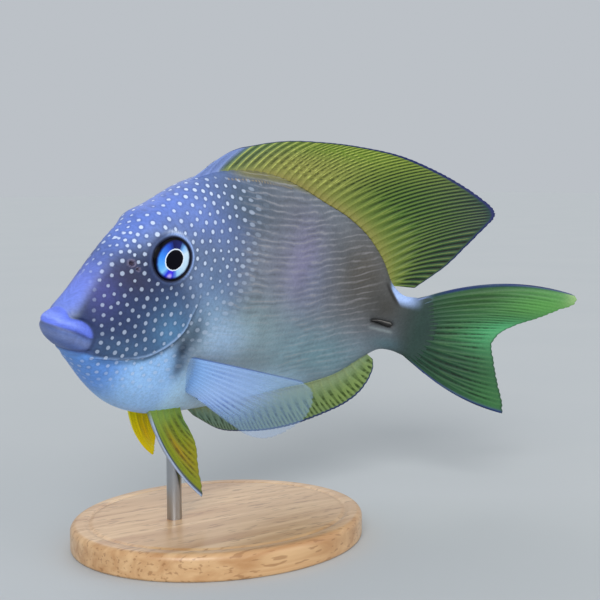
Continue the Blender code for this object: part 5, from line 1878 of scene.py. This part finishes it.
@dataclass
class PelvicFin(PairedFin):
    """A fin under the breast: olive-yellow, with an orange streak and a pale leading edge."""

    rays: int = 6
    rows: int = 80
    columns_per_ray: int = 14
    foot: float = 1.4 * MM
    ray_width: float = 0.16
    sway: float = 0.0025
    sway_waves: float = 1.2
    root_x: Point = (0.286, 0.374)
    root_w: float = 0.027

    def lines(self, count: int) -> tuple[Array, Array, Array]:
        """Set the roots on the breast, a little sunk into it."""
        x = np.linspace(*self.root_x, count)
        root = np.column_stack([x, self.form.belly_height(x, self.root_w) + 0.005,
                                np.full_like(x, self.root_w)])
        fade = np.linspace(1.0, 0.2, count)[:, None]
        bow = np.array(PELVIC_BOWS[self.side]) * self.mirror * fade
        return root * self.mirror, spread(PELVIC_TIPS[self.side], count) * self.mirror, bow

    def ground(self, c: Array, t: Array) -> Array:
        """Paint the web in the colours of its side: olive on the left, and on the right its own yellow,
        painted brighter as painted light through the thin web.
        """
        base, foot, streak, hem, rear = PELVIC_COLOURS[self.side]
        patches = (Spray(foot, (0.5, 0.0), (0.9, 0.25), 0.85), Spray(streak, (0.34, 0.62), (0.10, 0.30), 0.6),
                   Spray(hem, (0.50, 0.88), (0.30, 0.22), 0.7), Spray(rear, (0.95, 0.60), (0.20, 0.45), 0.75))
        return sprayed(np.broadcast_to(linear(base), (*c.shape, 3)), patches, c, t)

    def paint(self, ground: Array, c: Array, t: Array) -> tuple[Array, Array]:
        """Paint the left fin's white and navy leading edge and its streaks, and the dark hem of both."""
        left = 1.0 if self.side is Side.LEFT else 0.0
        ground = coated(
            ground,
            ("#2c3c5c", rise(c, 0.085, 0.045) * rise(t, 0.05, 0.2) * left),
            ("#a9bcdc", rise(c, 0.040, 0.018) * rise(t, 0.0, 0.15) * left),
            ("#35503c", rise(c, 0.985, 0.998) * 0.7 + rise(t, 0.985, 0.998) * 0.6))
        dark = 0.75 * left * rise(t, 0.10, 0.35) * rise(t, 1.0, 0.85) * rise(c, 0.08, 0.18)
        return ground, fin_marks(dark, 0.12 * left, 0.45)


@dataclass
class Stand:
    """The oval turned plate and the upright rod that hold the fish."""

    form: FishForm
    length: float = 70 * MM
    width: float = 60 * MM
    edge: float = 1.6 * MM
    line_depth: float = 0.35 * MM
    rod_radius: float = 1.7 * MM
    rod_x: float = 0.395
    in_belly: float = 7 * MM
    in_plate: float = 4 * MM
    around: int = 192

    def _lathe(self, outline: Array, length: float, width: float) -> Array:
        """Carry an outline round the upright axis: (reach, z) gives rings of an oval of that size."""
        angle = turns(self.around)[None, :]
        x = outline[:, :1] * length / 2.0 * np.cos(angle)
        y = outline[:, :1] * width / 2.0 * np.sin(angle)
        return np.stack([x, y, outline[:, 1:] + 0.0 * x], axis=-1)

    def build_plate(self) -> Piece:
        """Build the plate: flat below, with rounded edges and a turned line round its top."""
        top = self.form.plate_thickness
        half = self.length / 2.0
        turn = np.linspace(0.0, math.pi / 2.0, 12)
        low_edge = np.column_stack([half - self.edge * 0.5 + self.edge * 0.5 * np.sin(turn),
                                    self.edge * 0.5 * (1.0 - np.cos(turn))])
        high_edge = np.column_stack([half - self.edge + self.edge * np.cos(turn),
                                     top - self.edge + self.edge * np.sin(turn)])
        reach = np.linspace(half - self.edge, 0.3 * MM, 70)[1:]
        line = self.line_depth * bell(reach, half - 4.2 * MM, 0.45 * MM)
        surface = np.column_stack([reach, top - line])
        floor = np.column_stack([np.linspace(0.3 * MM, half - self.edge * 0.5, 24)[:-1], np.zeros(23)])
        outline = np.concatenate([floor, low_edge, high_edge, surface])
        outline[:, 0] /= half
        made = Shell(self._lathe(outline, self.length, self.width), {}, Ends.POLE)
        made = made.build("stand_plate_turned", Beech().dress())
        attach(made, "root")
        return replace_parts(made, "stand_plate")

    def build_rod(self) -> Piece:
        """Build the rod from inside the plate up into the belly, with its ends eased."""
        belly = np.array([self.rod_x, float(self.form.belly(np.float64(self.rod_x))), 0.0])
        enter = self.form.place(belly)
        bottom, top = self.form.plate_thickness - self.in_plate, enter[2] + self.in_belly
        ease = 0.3 * MM
        z = np.concatenate([[bottom, bottom + ease], np.linspace(bottom + ease, top - ease, 40)[1:], [top]])
        reach = np.full(len(z), 1.0)
        reach[[0, -1]] = 1.0 - ease / self.rod_radius
        points = self._lathe(np.column_stack([reach, z]), 2.0 * self.rod_radius, 2.0 * self.rod_radius)
        points[..., :2] += enter[:2]
        made = Shell(points, {}, Ends.POLE).build("stand_rod_steel", BrushedSteel().dress())
        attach(made, "root")
        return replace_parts(made, "stand_rod")


@dataclass
class Studio:
    """The plain pale floor, the soft lights and the camera."""

    floor_half: float = 4.0
    camera: tuple[float, float, float] = (-0.13938, -0.23567, 0.08451)
    target: tuple[float, float, float] = (0.03109, 0.01194, 0.05294)
    lens: float = 72.0
    sensor: float = 36.0

    def build_floor(self) -> Piece:
        """Build a wide square of matt pale paint under the stand."""
        side = self.floor_half
        mesh = bpy.data.meshes.new("floor")
        mesh.from_pydata([(-side, -side, 0.0), (side, -side, 0.0), (side, side, 0.0), (-side, side, 0.0)],
                         [], [(0, 1, 2, 3)])
        w = Wiring("matt_floor_paint")
        cloud = w.add("TexNoise", {"Vector": w.add("TexCoord", out="Object"), "Scale": 1.0 / (80 * MM)},
                      out="Fac")
        colour = w.add("Mix", {0: cloud, 6: "#bdc1c3", 7: "#c2c5c6"}, data_type="RGBA")
        mesh.materials.append(w.finish({"Base Color": colour}, Roughness=1.0, Specular_IOR_Level=0.0))
        made = bpy.data.objects.new("floor", mesh)
        bpy.context.scene.collection.objects.link(made)
        return made

    @staticmethod
    def add_light(name: str, toward: tuple[float, float, float], strength: float, spread_by: float) -> None:
        """Hang a soft light so far off that it lights the whole floor evenly.

        Args:
            name: the light's name.
            toward: the way to it from the model.
            strength: what it lays on a face turned to it, in watts per square metre.
            spread_by: the angle that it fills as seen from the model.
        """
        light = bpy.data.lights.new(name, "SUN")
        light.energy = strength
        light.angle = spread_by
        made = bpy.data.objects.new(name, light)
        made.rotation_euler = Vector(toward).to_track_quat("Z", "Y").to_euler()
        bpy.context.scene.collection.objects.link(made)

    def build_lights(self) -> None:
        """Set a broad key light before the fish, two fills, a light behind and a pale surround."""
        self.add_light("key", (-1.00, -1.25, 1.05), 1.60, math.radians(32))
        self.add_light("low_fill", (-0.60, -1.60, 0.30), 0.55, math.radians(50))
        self.add_light("side_fill", (1.20, -1.50, 0.70), 0.45, math.radians(50))
        self.add_light("behind", (0.80, 1.40, 1.30), 0.45, math.radians(40))
        world = bpy.data.worlds.new("pale_surround")
        world.use_nodes = True
        back = world.node_tree.nodes["Background"]
        back.inputs["Color"].default_value = (*linear("#dfe5ec"), 1.0)
        back.inputs["Strength"].default_value = 0.68
        bpy.context.scene.world = world

    def build_camera(self) -> None:
        """Set the camera at the photograph's angle, and show the colours as they are painted."""
        lens = bpy.data.cameras.new("camera")
        lens.lens = self.lens
        lens.sensor_width = self.sensor
        lens.clip_start = 0.01
        made = bpy.data.objects.new("camera", lens)
        made.location = self.camera
        made.rotation_euler = (Vector(self.camera) - Vector(self.target)).to_track_quat("Z", "Y").to_euler()
        bpy.context.scene.collection.objects.link(made)
        bpy.context.scene.camera = made
        bpy.context.scene.view_settings.view_transform = "Standard"


def build_fins(form: FishForm) -> None:
    """Build the median fins and both pairs of fins."""
    dorsal = FinSkin("dorsal_fin_skin", dark="#34502f", pale="#c6cc6a", crisp=(0.50, 0.76), wobble=0.18)
    anal = FinSkin("anal_fin_skin", dark="#7d8a66", pale="#a9b068")
    tail = FinSkin("tail_fin_skin", dark="#71887a", pale="#86aa68")
    for fin, node, skin in ((DorsalFin(form), "dorsal_fin", dorsal), (AnalFin(form), "anal_fin", anal),
                            (TailFin(form), "tail_fin", tail)):
        fin.make(node + "_rays", node, node, skin.dress())
    clear = FinSkin("pectoral_fin_film", dark="#8fa4d8", pale="#b6c8ee", clear=True).dress()
    breast = FinSkin("pelvic_fin_skin", dark="#968c62", pale="#b0a648").dress()
    for side in Side:
        pectoral, pelvic = (f"{kind}_fin_{side.label}" for kind in ("pectoral", "pelvic"))
        PectoralFin(form, side=side).make(pectoral + "_fan", pectoral, "pectoral_fin", clear)
        PelvicFin(form, side=side).make(pelvic + "_rays", pelvic, "pelvic_fin", breast)


def main() -> None:
    """Build the model piece by piece, then the studio."""
    logging.basicConfig(level=logging.INFO, format="%(name)s: %(message)s")
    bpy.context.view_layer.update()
    form = FishForm()
    seat = EyeSeat()
    BodySkin(form, seat).build()
    glass, bone = EyeGlass().dress(), Bone().dress()
    for side in Side:
        Eyeball(form, seat, side).build(glass)
        TailSpine(form, side).build(bone)
    build_fins(form)
    stand = Stand(form)
    stand.build_plate()
    stand.build_rod()
    studio = Studio()
    studio.build_floor()
    studio.build_lights()
    studio.build_camera()
    bpy.context.view_layer.update()


if __name__ == "__main__":
    main()
